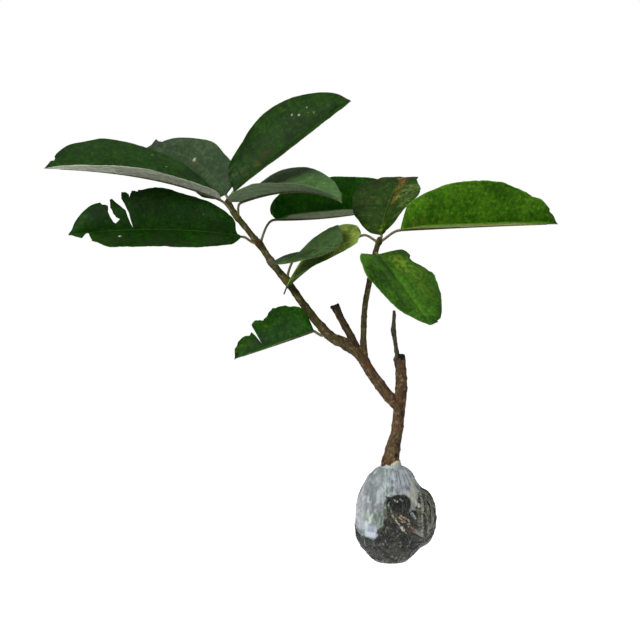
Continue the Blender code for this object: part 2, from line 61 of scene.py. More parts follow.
# points on the axis of each limb: x, y, z, radius
LIMBS = {
    "trunk": [
        (-3.4, 0, SOCKET_Z, 8.3), (-3.4, 0, 105, 9.2), (-3.2, 0, 113, 9.0), (-2.1, 0, 119, 8.3),
        (-0.9, 0, 126, 7.8), (1.3, 0, 136, 6.7), (4.0, 0, 147, 6.1), (5.3, 0, 159, 6.0),
        (5.9, 0, 169, 6.2), (7.2, 0, 181, 6.0), (8.3, 0, 193, 6.0), (8.1, 0, 203, 5.8),
        (7.6, 0, 217, 5.4), (7.4, 0, 226, 5.2), (7.2, 0, 231, 4.5)],
    "main_bough": [
        (6.5, 0, 171.5, 5.6), (-6.4, 0, 185.7, 5.8), (-16.2, 0, 198.6, 5.5), (-23.3, 0, 208.6, 5.4),
        (-30.9, 0, 220.3, 5.4), (-36.4, 0, 229.8, 5.9), (-44.2, 0, 237, 5.9), (-56.8, 0, 245, 5.6),
        (-66.8, 0, 249.3, 5.1), (-73.4, 0, 254.5, 4.8), (-80.5, 1, 262.6, 4.5), (-88.8, 1, 272.3, 4.1),
        (-103.4, 1.5, 291.8, 3.7), (-111.2, 2.8, 303.4, 3.7), (-118.8, 4.0, 313.4, 4.1),
        (-126.8, 5.2, 322.8, 3.3), (-134.8, 6.5, 333.0, 4.1), (-141.0, 7.7, 342.2, 2.9),
        (-148.0, 9.0, 352.4, 3.8), (-154.2, 10.0, 359.4, 3.0), (-160.7, 11.0, 367.7, 2.8),
        (-169.3, 12.4, 377.9, 2.9), (-175.1, 13.3, 385.1, 3.0), (-183.5, 15, 400, 2.4)],
    "cut_stub": [
        (-39.7, 0, 234.2, 3.9), (-44.1, 2, 244, 3.9), (-49.6, 5, 254.7, 3.7), (-54.5, 8, 263.3, 3.6),
        (-60.6, 10.5, 274.5, 3.6), (-65, 13, 284.5, 4.1)],
    "side_bough": [
        (-33.1, 0, 229.8, 4.2), (-33.6, -1, 238.7, 3.6), (-33.9, -3, 247.6, 3.1), (-33.7, -6, 258.7, 2.8),
        (-33.6, -9, 269.8, 2.8), (-33.1, -12, 280.9, 2.7), (-31.9, -15, 292, 2.6), (-30.1, -19, 303, 2.6),
        (-28, -22, 314, 2.6), (-23.3, -28, 340.7, 2.5), (-17.5, -34, 362, 2.3)],
    "dead_twig": [
        (4.6, 0, 217, 3.0), (3.6, -0.2, 225.3, 3.2), (3.5, -0.5, 231, 2.1), (2.5, -1, 236.5, 2.0),
        (1.7, -1.3, 242, 1.75), (0.8, -1.6, 247.6, 1.8), (0.1, -2, 253.2, 2.0), (-0.9, -2, 258.7, 2.5),
        (-0.6, -2, 264.2, 1.8), (-0.5, -2, 269.8, 1.6), (-0.1, -2, 275.3, 1.5), (-0.3, -2, 280, 1.3)],
}
# Each leaf repeats its solid's foot, base, mid, tip, half, lobe, lean, rise, sag, blunt, face and back.
# lift: degrees the back half stands above the flat at base and tip, then the same for the front half.
# edge: hundredths of the half width at the places in EDGE_AT; with no front edge both halves are alike.
# bites: torn stretches of a margin, pairs of u in thousandths of the midrib and v in hundredths of the width.
# marks: (u, v, radius, colour, strength), with v above 0 on the back half; some are painted sheen and painted
# light, noted at their leaves.
# dark, light, under: the upper face's two greens and the lower face; flush, flecked: colour and amount of
# its flecks; rib: strength of the midrib; ragged: unevenness of the margin.
EDGE_AT = np.array((0.0, 0.03, 0.08, 0.16, 0.27, 0.40, 0.53, 0.66, 0.78, 0.87, 0.94, 0.98, 1.0))
PALE, RUST, OCHRE, LIME = (190, 205, 175), (95, 70, 25), (150, 130, 45), (120, 150, 30)
LEAVES = {
    # leaf_top_back: its greens are greyed by painted sheen from the sky on its upper face, and the two grey
    # marks near its tip are painted sheen
    "leaf_top_back": dict(
        dark=(38, 57, 35), light=(54, 72, 46), under=(120, 128, 112), foot=(-182.6, 15.6, 397.8),
        base=(-185.4, 24.0, 405.3), mid=(-222.5, 62, 442), tip=(-277.9, 105, 457), rib=0.12, half=39.6,
        lobe=0.0, lift=(45, 45, -75, -75), rise=(-0.2, 0.35, 1),
        back_edge=(30, 48, 66, 70, 79, 69, 56, 42, 24, 25, 31, 35),
        bites_back=[(800, 100, 848, 110, 886, 90, 915, 95, 944, 110, 970, 112, 992, 100)],
        marks=[(0.5, 0.03, 3.0, PALE, 0.8), (0.47, 0.04, 9, (122, 104, 62), 0.45),
            (0.95, 0.5, 12, (62, 64, 66), 0.7), (0.8, 0.5, 22, (72, 74, 74), 0.45),
            (0.1, 0.7, 9, (92, 92, 56), 0.45), (0.16, 0.3, 10, (70, 88, 52), 0.4)]),
    # leaf_top_right: its dark brown-green lower face is painted shade, for the shaded underside of its front
    # half
    "leaf_top_right": dict(
        dark=(11, 35, 2), light=(28, 59, 6), under=(96, 98, 70), foot=(-181.0, 13.6, 398.6),
        base=(-176.8, 12, 411), mid=(-114.4, 10, 460.8), tip=(-47.9, 8, 508.9), rib=0.6, half=45.8,
        lobe=0.04, lift=(63, 63, -3.5, -3), rise=(0.3, 0, 1),
        back_edge=(27, 56, 78, 101, 112, 106, 91, 72, 54, 33, 13, 9),
        front_edge=(44, 70, 93, 103, 115, 125, 112, 80, 56, 33, 8, 5),
        marks=[(0.57, 0.58, 1.9, PALE, 1), (0.622, 0.49, 1.9, PALE, 1), (0.692, 0.6, 1.5, PALE, 0.9),
            (0.732, 0.37, 1.8, LIME, 0.9), (0.3, 0.22, 7, RUST, 0.5), (0.35, 0.2, 5, RUST, 0.45),
            (0.24, 0.14, 6, OCHRE, 0.35), (0.16, 0.18, 10, LIME, 0.3), (0.52, 0.8, 6, LIME, 0.4),
            (0.08, 0.6, 18, (82, 110, 76), 0.65), (0.2, -0.5, 14, (60, 92, 44), 0.5),
            (0.45, -0.7, 16, (46, 80, 26), 0.4)]),
    # leaf_upper_left: its near-white lower face is painted light, paler than its own underside, standing in
    # for the light it gets from below
    "leaf_upper_left": dict(
        dark=(11, 35, 3), light=(25, 56, 7), under=(232, 238, 214), foot=(-175.1, 12.8, 386.1),
        base=(-189, 10, 401.0), mid=(-272.9, 6, 425.6), tip=(-382.5, 5, 435.6), half=52.7, lobe=0.0,
        lift=(39, 39, 23, 5), rise=(-1, -0.3, 0.4),
        back_edge=(12, 24, 46, 75, 91, 102, 106, 90, 77, 48, 20, 20),
        front_edge=(32, 44, 51, 66, 93, 103, 106, 91, 76, 48, 20, 20),
        bites_back=[(930, 100, 942, 99, 950, 94, 948, 72, 953, 64, 960, 78, 974, 112, 988, 100)],
        marks=[(0.985, 0.3, 6, (44, 40, 30), 0.9), (0.99, -0.3, 6, (44, 40, 30), 0.9),
            (0.418, 0.76, 1.8, LIME, 0.9), (0.352, 0.48, 1.8, LIME, 0.9),
            (0.46, 0.6, 20, (40, 92, 20), 0.5)]),
    # leaf_upper_front: its greens are greyed by painted sheen from the sky on its upper face
    "leaf_upper_front": dict(
        dark=(55, 85, 45), light=(74, 105, 58), under=(113, 137, 97), foot=(-171.8, 12.4, 381.7),
        base=(-168.5, 6.5, 399.2), mid=(-107.3, -40, 413.1), tip=(-58.7, -88, 403.5), half=43.7,
        lobe=0.06, lift=(29, 29, 2, 31), rise=(0.15, -0.1, 1),
        back_edge=(45, 81, 128, 120, 99, 75, 56, 36, 25, 11, 4, 3),
        front_edge=(46, 74, 106, 108, 86, 68, 56, 43, 34, 14, 4, 2),
        marks=[(0.97, 0.3, 5, OCHRE, 0.5)]),
    "leaf_middle_left": dict(
        dark=(11, 39, 2), light=(22, 58, 5), under=(100, 108, 92), ragged=0.02, foot=(-149.3, 8.6, 354.0),
        base=(-165.4, 3, 361.6), mid=(-258.3, 3, 369.1), tip=(-357, 2, 363.3), sag=(-2, 0, 1), half=45.5,
        lobe=0.0, lift=(76, 76, -26, -16), rise=(-0.9, -0.4, -0.5),
        back_edge=(23, 49, 72, 87, 103, 95, 81, 72, 53, 29, 9, 8),
        front_edge=(38, 52, 73, 87, 92, 98, 98, 63, 40, 19, 5, 5),
        bites_back=[(0, 10, 36, 18, 45, 40, 46, 92, 56, 104, 70, 103), (518, 96, 532, 99, 546, 103, 560,
        98, 576, 88, 570, 97, 582, 105, 602, 107, 612, 100, 620, 90, 618, 75, 620, 60, 620, 48, 630, 29,
        638, 7, 640, 18, 636, 39, 630, 56, 644, 70, 662, 87, 670, 98, 686, 96, 694, 87, 708, 72, 704, 66,
        708, 53, 700, 39, 686, 34, 722, 23, 730, 27, 734, 42, 732, 61, 724, 67, 714, 79, 724, 83, 744, 87,
        752, 97, 804, 99, 850, 99)],
        bites_front=[(810, 95, 842, 76, 868, 46, 878, 46, 882, 85, 885, 100)],
        marks=[(0.14, -0.6, 30, (42, 54, 30), 0.65), (0.4, -0.6, 32, (42, 54, 30), 0.65),
            (0.68, -0.6, 24, (42, 54, 30), 0.6), (0.668, -0.51, 2.4, PALE, 1),
            (0.78, 0.25, 22, (18, 58, 10), 0.6)]),
    "leaf_middle_right": dict(
        dark=(24, 74, 3), light=(42, 106, 6), under=(98, 112, 76), foot=(-147.3, 9.4, 353.7),
        base=(-130.7, 17.0, 379.8), mid=(-55.8, 53, 381.0), tip=(15.4, 90, 392.1), half=45.0, lobe=0.075,
        lift=(68, 68, 11, 20), rise=(0.35, 0.1, 0.9),
        back_edge=(42, 59, 84, 99, 104, 98, 91, 80, 63, 36, 8, 4),
        front_edge=(47, 72, 103, 105, 87, 90, 89, 79, 63, 38, 8, 4)),
    "leaf_lower_front": dict(
        dark=(38, 59, 27), light=(62, 87, 45), under=(96, 108, 84), foot=(-117.5, 4.0, 315.1),
        base=(-106.7, -9, 343.4), mid=(-86.5, -61, 353.3), tip=(-62, -112, 358), half=41.0, lobe=0.062,
        lift=(37, 37, -14, -32), rise=(0.05, -0.35, 1),
        back_edge=(54, 77, 95, 103, 90, 75, 58, 43, 31, 13, 5, 3),
        front_edge=(45, 69, 88, 100, 90, 76, 58, 43, 31, 13, 5, 3),
        marks=[(0.98, 0.1, 5, RUST, 0.7), (0.1, -0.5, 16, (26, 50, 22), 0.8),
            (0.3, -0.5, 16, (26, 50, 22), 0.8), (0.55, -0.5, 14, (30, 56, 26), 0.7)]),
    "leaf_lowest_left": dict(
        dark=(12, 45, 1), light=(32, 80, 2), under=(104, 112, 92), ragged=0.035, foot=(-77.0, 0.6, 258.6),
        base=(-88.4, -3, 258.6), mid=(-123.8, -3, 245.1), tip=(-175.2, -2, 226.9), half=41.4, lobe=0.045,
        lean=0.06, lift=(54, 54, 7, 7), rise=(-0.35, -0.3, -0.9), sag=(2, -1, -4.5),
        back_edge=(56, 73, 87, 102, 109, 101, 96, 74, 58, 44, 36, 37), bites_back=[(392, 100, 462, 98,
        498, 95, 514, 88, 554, 86, 582, 81, 614, 89, 654, 96, 700, 98, 720, 96, 720, 83, 718, 75, 712, 46,
        706, 18, 730, 51, 750, 73, 786, 68, 822, 82, 864, 93, 894, 94, 920, 96, 944, 83, 990, 81)],
        marks=[(0.985, 0.5, 5, (30, 30, 16), 0.8), (0.7, 0.2, 4, (40, 40, 20), 0.6),
            (0.6, 0.55, 8, LIME, 0.4), (0.85, 0.5, 9, LIME, 0.35), (0.94, 0.6, 5, LIME, 0.4)]),
    "leaf_side_top": dict(
        flush=(86, 98, 34), flecked=0.6, dark=(16, 41, 2), light=(36, 67, 5), under=(110, 122, 92),
        ragged=0.02, foot=(-17.6, -34, 359.4), base=(-16, -34, 365.6), mid=(-7.3, 8, 395.3),
        tip=(10.4, 60, 424.1), half=45.0, lobe=0.026, lean=0.06, blunt=0.05, lift=(-4, -4, 46, 19),
        rise=(0.1, 0.1, 1), back=(-1, 0, 0), face=(0, -0.5, 0.85),
        back_edge=(20, 34, 52, 74, 87, 94, 93, 86, 60, 48, 26, 20),
        front_edge=(22, 44, 58, 75, 92, 86, 74, 60, 51, 48, 24, 18),
        marks=[(0.6, -0.7, 22, (106, 136, 56), 0.75), (0.35, -0.7, 18, (104, 134, 54), 0.7),
            (0.97, -0.3, 9, (150, 128, 66), 0.9), (0.9, -0.25, 8, RUST, 0.85),
            (0.84, -0.3, 9, (130, 92, 46), 0.85), (0.76, -0.22, 9, OCHRE, 0.75),
            (0.68, -0.3, 8, RUST, 0.7), (0.6, -0.2, 9, (120, 100, 48), 0.65), (0.5, -0.25, 9, OCHRE, 0.6),
            (0.42, -0.15, 8, (112, 88, 40), 0.6), (0.3, -0.2, 8, (132, 140, 50), 0.5),
            (0.2, -0.1, 8, LIME, 0.5), (0.1, 0.0, 11, (132, 158, 44), 0.75),
            (0.8, 0.6, 11, (60, 50, 22), 0.6), (0.5, 0.5, 9, (62, 66, 24), 0.4)]),
    "leaf_side_right": dict(
        dark=(33, 77, 7), light=(71, 120, 18), under=(140, 148, 78), ragged=0.012,
        foot=(-18.0, -33.9, 358.3), base=(4.6, -36.5, 372.1), mid=(91.9, -16, 374), tip=(179.1, 7, 374.9),
        flush=(116, 152, 36), flecked=0.65, half=48.8, lobe=0.016, lift=(84, 84, 7, 7),
        rise=(1, -0.1, 0.45), back_edge=(43, 63, 83, 99, 102, 98, 82, 65, 51, 28, 14, 6),
        front_edge=(44, 65, 84, 98, 102, 91, 61, 40, 30, 20, 10, 5),
        bites_back=[(736, 100, 780, 96, 846, 103, 890, 101, 926, 105, 928, 87, 954, 94, 980, 86)],
        marks=[(0.12, 0.1, 14, (150, 160, 70), 0.5), (0.3, 0.06, 12, (140, 150, 60), 0.35),
            (0.99, 0.1, 4, RUST, 0.6)]),
    # leaf_side_left: its greens are its own yellow-green painted paler, and the bright green marks on its
    # front half are painted light, making up for the shadow of leaf_lower_front
    "leaf_side_left": dict(
        dark=(114, 140, 54), light=(156, 182, 80), under=(86, 122, 56), foot=(-18.2, -33.4, 357.6),
        base=(-37.5, -31, 365.8), mid=(-81, -19, 338.4), tip=(-120, -4, 303.4), half=30.0, lobe=0.06,
        lift=(40, 40, -17, 0), rise=(-1, 0, 0.45),
        back_edge=(46, 69, 105, 135, 119, 100, 79, 52, 29, 12, 5, 4),
        front_edge=(51, 80, 105, 119, 109, 105, 87, 55, 30, 12, 5, 4),
        marks=[(0.1, 0.6, 12, (96, 108, 40), 0.7), (0.18, 0.4, 8, (110, 104, 40), 0.5),
            (0.4, -0.6, 20, (84, 160, 70), 0.85), (0.65, -0.6, 16, (84, 160, 70), 0.85),
            (0.85, 0.1, 7, (140, 164, 66), 0.6)]),
    "leaf_side_hanging": dict(
        flush=(104, 148, 48), flecked=0.5, rib=0.15, dark=(39, 75, 20), light=(70, 122, 28),
        under=(110, 124, 84), ragged=0.02, foot=(-21.9, -29.6, 346.4), base=(-18.6, -38, 345.6),
        mid=(9.8, -63, 308.6), tip=(34, -90, 275.5), half=43.2, lobe=0.052, lean=0.05, blunt=0.03,
        lift=(0, 0, 23, 8), rise=(0.3, -1, 0.15), back=(0.76, 0.64, 0.09), face=(0.39, -0.56, 0.73),
        back_edge=(70, 88, 103, 124, 113, 102, 84, 67, 52, 38, 22, 15),
        front_edge=(78, 107, 127, 134, 118, 102, 86, 67, 41, 24, 8, 5),
        bites_back=[(68, 100, 106, 97, 130, 93, 154, 78, 180, 75, 210, 80, 254, 84, 294, 88, 310, 97, 358,
        102),
        (920, 97, 954, 85, 970, 110)],
        marks=[(0.3, 0.45, 20, (126, 164, 54), 0.8), (0.5, 0.57, 18, (114, 154, 50), 0.6),
            (0.14, 0.4, 18, (130, 168, 50), 0.8), (0.62, 0.35, 14, (98, 144, 46), 0.5),
            (0.3, -0.7, 20, (34, 62, 26), 0.6), (0.7, -0.6, 16, (36, 70, 24), 0.5)]),
}
BASE_EDGE = 3         # hundredths of the half width where the blade leaves its stalk
LEAF_THICK = 0.42     # thickness of a real blade
GRAIN = 1.3           # spacing of a blade's mesh points
CAMBER, WAVE, PUCKER, UNEVEN = 2.6, 0.9, 0.1, 0.35  # heights of a blade's swelling, waves, puckers and lumps
VEIN_GAP = 6.0        # distance between lateral veins along the midrib
VEIN_SWEEP = 0.035    # how far a lateral vein runs forward by the margin, as a share of the leaf
VEIN_SHIFT = 0.35     # how far the veins of the two halves stand apart, as a share of their gap
END_FADE = 0.03       # share of a leaf over which its fold opens out at either end
TIP_ROUND, BASE_ROUND = 0.016, 0.045  # shares of a leaf over which its ends are closed round
LEAST_WIDTH = 0.3     # a half blade is nowhere narrower
MARGIN_STEP, BITE_STEP = 1.1, 1.2     # spacing of points on a whole and on a torn margin
STALK_STEPS, RIDGE_STEPS, STALK_SIDES = 26, 60, 12
HEEL, HEEL_FADE = 0.55, 3.0           # how much a stalk thickens at the bough, and over what length
COLLAR, COLLAR_FADE = 0.12, 5.0       # the same where it meets the blade
RIDGE_FROM, RIDGE_TO, RIDGE_R = 0.006, 0.93, 0.28


def srgb(colour):
    """Linear colour from 0 to 255 display values."""
    return tuple(c / 255 / 12.92 if c <= 10 else ((c / 255 + 0.055) / 1.055) ** 2.4 for c in colour)


def shade(colour, factor, lift=0.0):
    """A display colour made darker or lighter."""
    return tuple(min(255, c * factor + lift) for c in colour)


def unit(v):
    return v / np.maximum(np.linalg.norm(v, axis=-1, keepdims=True), 1e-9)


def clamp(value):
    return np.clip(value, 0, 1)


def laid(under, over, cover):
    """A colour or a share laid over another one."""
    return under * (1 - cover) + over * cover


def tangle(points, seed, octaves=3):
    """Smooth repeatable unevenness, about -1 to 1, at each row of points divided by the grain size."""
    away = Vector((seed * 7.31, seed * 3.17, seed * 5.93))
    return np.array([noise.fractal(Vector(p) + away, 0.9, 2.1, octaves) for p in points])


def turned(turns):
    """Cosine and sine at even turns of a circle."""
    angle = np.linspace(0, 2 * np.pi, turns, endpoint=False)
    return np.cos(angle), np.sin(angle)


def cubic(p0, m0, p1, m1, t):
    """From p0 to p1 with the slopes m0 and m1 at the ends."""
    return (p0 * (2 * t ** 3 - 3 * t ** 2 + 1) + m0 * (t ** 3 - 2 * t ** 2 + t)
            + p1 * (3 * t ** 2 - 2 * t ** 3) + m1 * (t ** 3 - t ** 2))


def nearest(points, queries):
    """For each query the number of the closest point, and how far away it is."""
    tree = KDTree(len(points))
    for k, p in enumerate(points):
        tree.insert(p, k)
    tree.balance()
    found = [tree.find(q) for q in queries]
    return np.array([f[1] for f in found]), np.array([f[2] for f in found])


# ---------------------------------------------------------------- meshes
def ring_faces(rows, turns):
    """Quads between rows of points that each close in a ring."""
    quads = []
    for k in range(0, (rows - 1) * turns, turns):
        for j in range(turns):
            a, b = k + j, k + (j + 1) % turns
            quads.append((a, b, b + turns, a + turns))
    return quads


def capped_faces(rows, turns):
    caps = [tuple(range(turns))[::-1], tuple(range((rows - 1) * turns, rows * turns))]
    return ring_faces(rows, turns) + caps


def tube_shell(path, radius, sides):
    """Capped tube along a path with a radius at each point: vertices and faces."""
    heading = unit(np.gradient(path, axis=0))
    across = np.zeros_like(path)
    step = np.cross(heading[0], (0.3, 0.9, 0.1))
    for k, ahead in enumerate(heading):
        across[k] = step = unit(step - ahead * (step @ ahead))
    cos, sin = (c[None, :, None] for c in turned(sides))
    ring = across[:, None] * cos + np.cross(heading, across)[:, None] * sin
    verts = (path[:, None] + ring * np.asarray(radius)[:, None, None]).reshape(-1, 3)
    return verts, capped_faces(len(path), sides)


def gathered(shells):
    """Shells of vertices and faces as one."""
    verts, faces, total = [], [], 0
    for v, f in shells:
        verts.append(v)
        faces += [tuple(k + total for k in face) for face in f]
        total += len(v)
    return np.concatenate(verts), faces


def shown(name, mesh):
    obj = bpy.data.objects.new(name, mesh)
    bpy.context.scene.collection.objects.link(obj)
    return obj


def mesh_from(name, verts, faces, smooth=True):
    mesh = bpy.data.meshes.new(name)
    mesh.from_pydata((np.asarray(verts) * MM).tolist(), [], [list(map(int, f)) for f in faces])
    mesh.validate()
    if smooth:
        mesh.polygons.foreach_set("use_smooth", [True] * len(mesh.polygons))
    return shown(name, mesh)


def write(mesh, **layers):
    """A number or a vector for every vertex, under each name."""
    for name, values in layers.items():
        values = np.asarray(values, dtype=np.float32)
        kind, key = ("FLOAT", "value") if values.ndim == 1 else ("FLOAT_VECTOR", "vector")
        mesh.attributes.new(name, kind, "POINT").data.foreach_set(key, values.ravel())


# ---------------------------------------------------------------- leaf shape, on arrays of u
def margin(leaf, u, back):
    """Half width of the blade at u, a monotone cubic through the edge shares, closed round at both ends."""
    edge = leaf["back_edge" if back or "front_edge" not in leaf else "front_edge"]
    edge = np.array((BASE_EDGE,) + edge) / 100
    gap = np.diff(EDGE_AT)
    slope = np.diff(edge) / gap
    p, q = slope[:-1], slope[1:]
    steady = p * q > 0
    inner = np.where(steady, 2 * p * q / np.where(steady, p + q, 1), 0)
    turn = np.concatenate(([slope[0]], inner, [slope[-1]]))
    i = np.clip(np.searchsorted(EDGE_AT, u) - 1, 0, len(gap) - 1)
    t = clamp((u - EDGE_AT[i]) / gap[i])
    here = cubic(edge[i], turn[i] * gap[i], edge[i + 1], turn[i + 1] * gap[i], t)
    rounding = np.sqrt(clamp((1.004 - u) / leaf.get("blunt", TIP_ROUND)) * clamp((u + 0.002) / BASE_ROUND))
    return np.maximum(leaf["half"] * here * rounding, LEAST_WIDTH)


def midrib(leaf, u):
    u = np.asarray(u, float)[..., None]
    b, m, t = (np.array(leaf[k], float) for k in ("base", "mid", "tip"))
    return b * (1 - u) * (1 - 2 * u) + m * 4 * u * (1 - u) + t * u * (2 * u - 1)


def leaf_frame(leaf, u):
    """Heading of the midrib, the direction of the back half, and the upper-face normal."""
    along = unit(midrib(leaf, u + 0.001) - midrib(leaf, u - 0.001))
    face = np.array(leaf.get("face", (0, 0, 1)), float)
    side = unit(np.cross(face, along))
    back = np.array(leaf.get("back", (0, 1, 0)), float)
    side = np.where((side @ back)[:, None] < 0, -side, side)
    up = np.cross(along, side)
    return along, side, np.where((up @ face)[:, None] < 0, -up, up)


def forward(leaf, u, reach):
    """How far along the leaf a point stands that leaves the midrib at u and reaches out to the margin."""
    t = clamp(u / 0.2)
    return u + (leaf.get("lean", 0.1) * np.sin(np.pi * clamp(u)) - leaf["lobe"] * 4 * t * (1 - t)) * reach


def margin_line(leaf, length, back, seed):
    """The margin of one half as flat points (mm along the midrib, mm out), base to tip, with its bites."""
    u = np.linspace(0.0, 1.0, int(length / MARGIN_STEP))
    v = np.ones_like(u)
    scale = np.array((length, 40.0))
    for bite in leaf.get("bites_back" if back else "bites_front", []):
        run = np.array(bite).reshape(-1, 2) / (1000, 100)
        steps = [np.linspace(a, b, max(2, int(math.dist(a * scale, b * scale) / BITE_STEP)), endpoint=False)
                 for a, b in zip(run, run[1:])]
        run = np.concatenate(steps + [run[-1:]])
        run[:, 1] += 0.012 * tangle(np.c_[run * (length / (leaf["half"] * 0.02) / 6), run[:, :1]], seed)
        before, after = u < run[0, 0], u > run[-1, 0]
        u = np.concatenate([u[before], run[:, 0], u[after]])
        v = np.concatenate([v[before], run[:, 1], v[after]])
    ragged = leaf.get("ragged", 0.006)
    v = v * (1 + ragged * tangle(np.c_[u * length / 7, v * 3, u * 0], seed + (3 if back else 5)))
    return np.c_[forward(leaf, u, v) * length, (1 if back else -1) * margin(leaf, u, back) * v]


def inside(polygon, points):
    """Whether each point lies in the polygon, by crossings."""
    x, y = points[:, :1], points[:, 1:]
    (ax, ay), (bx, by) = polygon.T, np.roll(polygon, -1, axis=0).T
    span = (ay <= y) != (by <= y)
    cross = ax + (y - ay) * (bx - ax) / np.where(by == ay, 1e-9, by - ay)
    return (span & (x < cross)).sum(1) % 2 == 1


def blade_mesh(leaf, length, seed):
    """Flat triangulated blade: points (mm along, mm out) and triangles."""
    back, front = (margin_line(leaf, length, half, seed) for half in (True, False))
    ring = np.concatenate([back, front[::-1]])
    ring = ring[np.linalg.norm(ring - np.roll(ring, 1, axis=0), axis=1) > 0.12]
    rib = np.linspace(2.0, length - 2.0, int(length / GRAIN))
    lo, hi = ring.min(0), ring.max(0)
    rows = []
    for j, y in enumerate(np.arange(lo[1], hi[1], GRAIN * 0.866)):
        x = np.arange(lo[0] + (j % 2) * GRAIN / 2, hi[0], GRAIN)
        rows.append(np.c_[x, np.full(len(x), y)])
    fill = np.concatenate(rows)
    inner = np.concatenate([fill[np.abs(fill[:, 1]) > GRAIN * 0.55], np.c_[rib, rib * 0]])
    inner = inner[inside(ring, inner)]
    far = nearest(np.c_[ring, ring[:, 0] * 0], np.c_[inner, inner[:, 0] * 0])[1] > GRAIN * 0.5
    n = len(ring)
    verts, _, faces, _, _, _ = delaunay_2d_cdt([Vector(p) for p in np.concatenate([ring, inner[far]])],
                                               [(k, (k + 1) % n) for k in range(n)], [], 1, 1e-6)
    flat = np.array([(p.x, p.y) for p in verts])
    tris = np.array([f for f in faces if len(f) == 3])
    tris = tris[inside(ring, flat[tris].mean(1))]
    used, tris = np.unique(tris, return_inverse=True)
    tris = tris.reshape(-1, 3)
    flat = flat[used]
    a, b, c = (flat[tris[:, k]] for k in range(3))
    area = (b[:, 0] - a[:, 0]) * (c[:, 1] - a[:, 1]) - (b[:, 1] - a[:, 1]) * (c[:, 0] - a[:, 0])
    tris[area < 0] = tris[area < 0][:, ::-1]
    return flat, tris[np.abs(area) > 1e-7]


def blade_coordinates(leaf, length, flat):
    """u and v of flat points, found by turning the forward sweep back step by step."""
    s = flat[:, 0] / length
    r = flat[:, 1]
    u = clamp(s)
    for final in [False] * 30 + [True]:
        width = np.where(r > 0, margin(leaf, u, True), margin(leaf, u, False))
        if final:
            return u, r / width
        u = clamp(0.5 * u + 0.5 * (s - (forward(leaf, u, np.minimum(np.abs(r) / width, 1.2)) - u)))


def raised(leaf, flat, u, v, length, seed):
    """Blade points in space, folded at the midrib, cambered, waved and puckered between the veins."""
    s = flat[:, 0] / length
    r = flat[:, 1]
    along, side, up = leaf_frame(leaf, s)
    opened = np.minimum(1.0, 0.3 + np.maximum(0, np.minimum(s, 1 - s)) / END_FADE)
    start, end = np.where(r[:, None] > 0, leaf["lift"][:2], leaf["lift"][2:]).T
    lift = (np.radians(start + (end - start) * s) * opened)[:, None]
    out = np.where(r[:, None] > 0, side, -side)
    reach = clamp(np.abs(v))
    across = out * np.cos(lift) + up * np.sin(lift)
    normal = up * np.cos(lift) - out * np.sin(lift)
    ends = clamp(np.minimum(u, 1 - u) / 0.12)
    wave = reach ** 2 * tangle(np.c_[u * length / 42, np.sign(r) * 2, r * 0], seed + 11, 2)
    f = (u - VEIN_SWEEP * reach ** 2) * length / VEIN_GAP + VEIN_SHIFT * np.sign(r)
    f = f - np.floor(f)
    pucker = (1 - np.abs(2 * f - 1) ** 2.2) * clamp(reach / 0.12) * clamp((1 - reach) / 0.2)
    uneven = tangle(np.c_[flat / 13, r * 0], seed + 21) * clamp(reach / 0.2)
    height = (CAMBER * (1 - (2 * reach - 1) ** 2) + WAVE * wave + PUCKER * pucker + UNEVEN * uneven) * ends
    return midrib(leaf, s) + across * np.abs(r)[:, None] + normal * height[:, None], up


def stalk_path(leaf, seed):
    """Points and radii of the stalk, carried on as the ridge below the midrib."""
    foot, base = np.array(leaf["foot"], float), np.array(leaf["base"], float)
    reach = np.linalg.norm(base - foot)
    heading = unit(np.array(leaf["rise"], float))
    along = leaf_frame(leaf, np.array([0.0]))[0][0]
    ridge_u = np.linspace(RIDGE_FROM, RIDGE_TO, RIDGE_STEPS)
    _, ridge_side, ridge_up = leaf_frame(leaf, ridge_u)
    fold = math.radians((leaf["lift"][0] - leaf["lift"][2]) / 2)
    below = ridge_side * math.sin(fold) - ridge_up * math.cos(fold)
    t = np.linspace(0, 1, STALK_STEPS)
    stalk = cubic(foot, heading * reach, base + below[0] * (PETIOLE_R - 0.25), along * reach, t[:, None])
    stalk = stalk + np.array(leaf.get("sag", (0, 0, 0))) * np.sin(np.pi * t)[:, None]
    swelling = HEEL * np.exp(-t * reach / HEEL_FADE) + COLLAR * np.exp(-(1 - t) * reach / COLLAR_FADE)
    stalk_r = PETIOLE_R * (1 + swelling + 0.03 * tangle(stalk / 3.0, seed + 31))
    ridge_r = RIDGE_R + (PETIOLE_R - 0.42) * (1 - ridge_u) ** 1.15
    ridge = midrib(leaf, ridge_u) + below * (ridge_r[:, None] - 0.12)
    return np.concatenate([stalk, ridge]), np.concatenate([stalk_r, ridge_r])


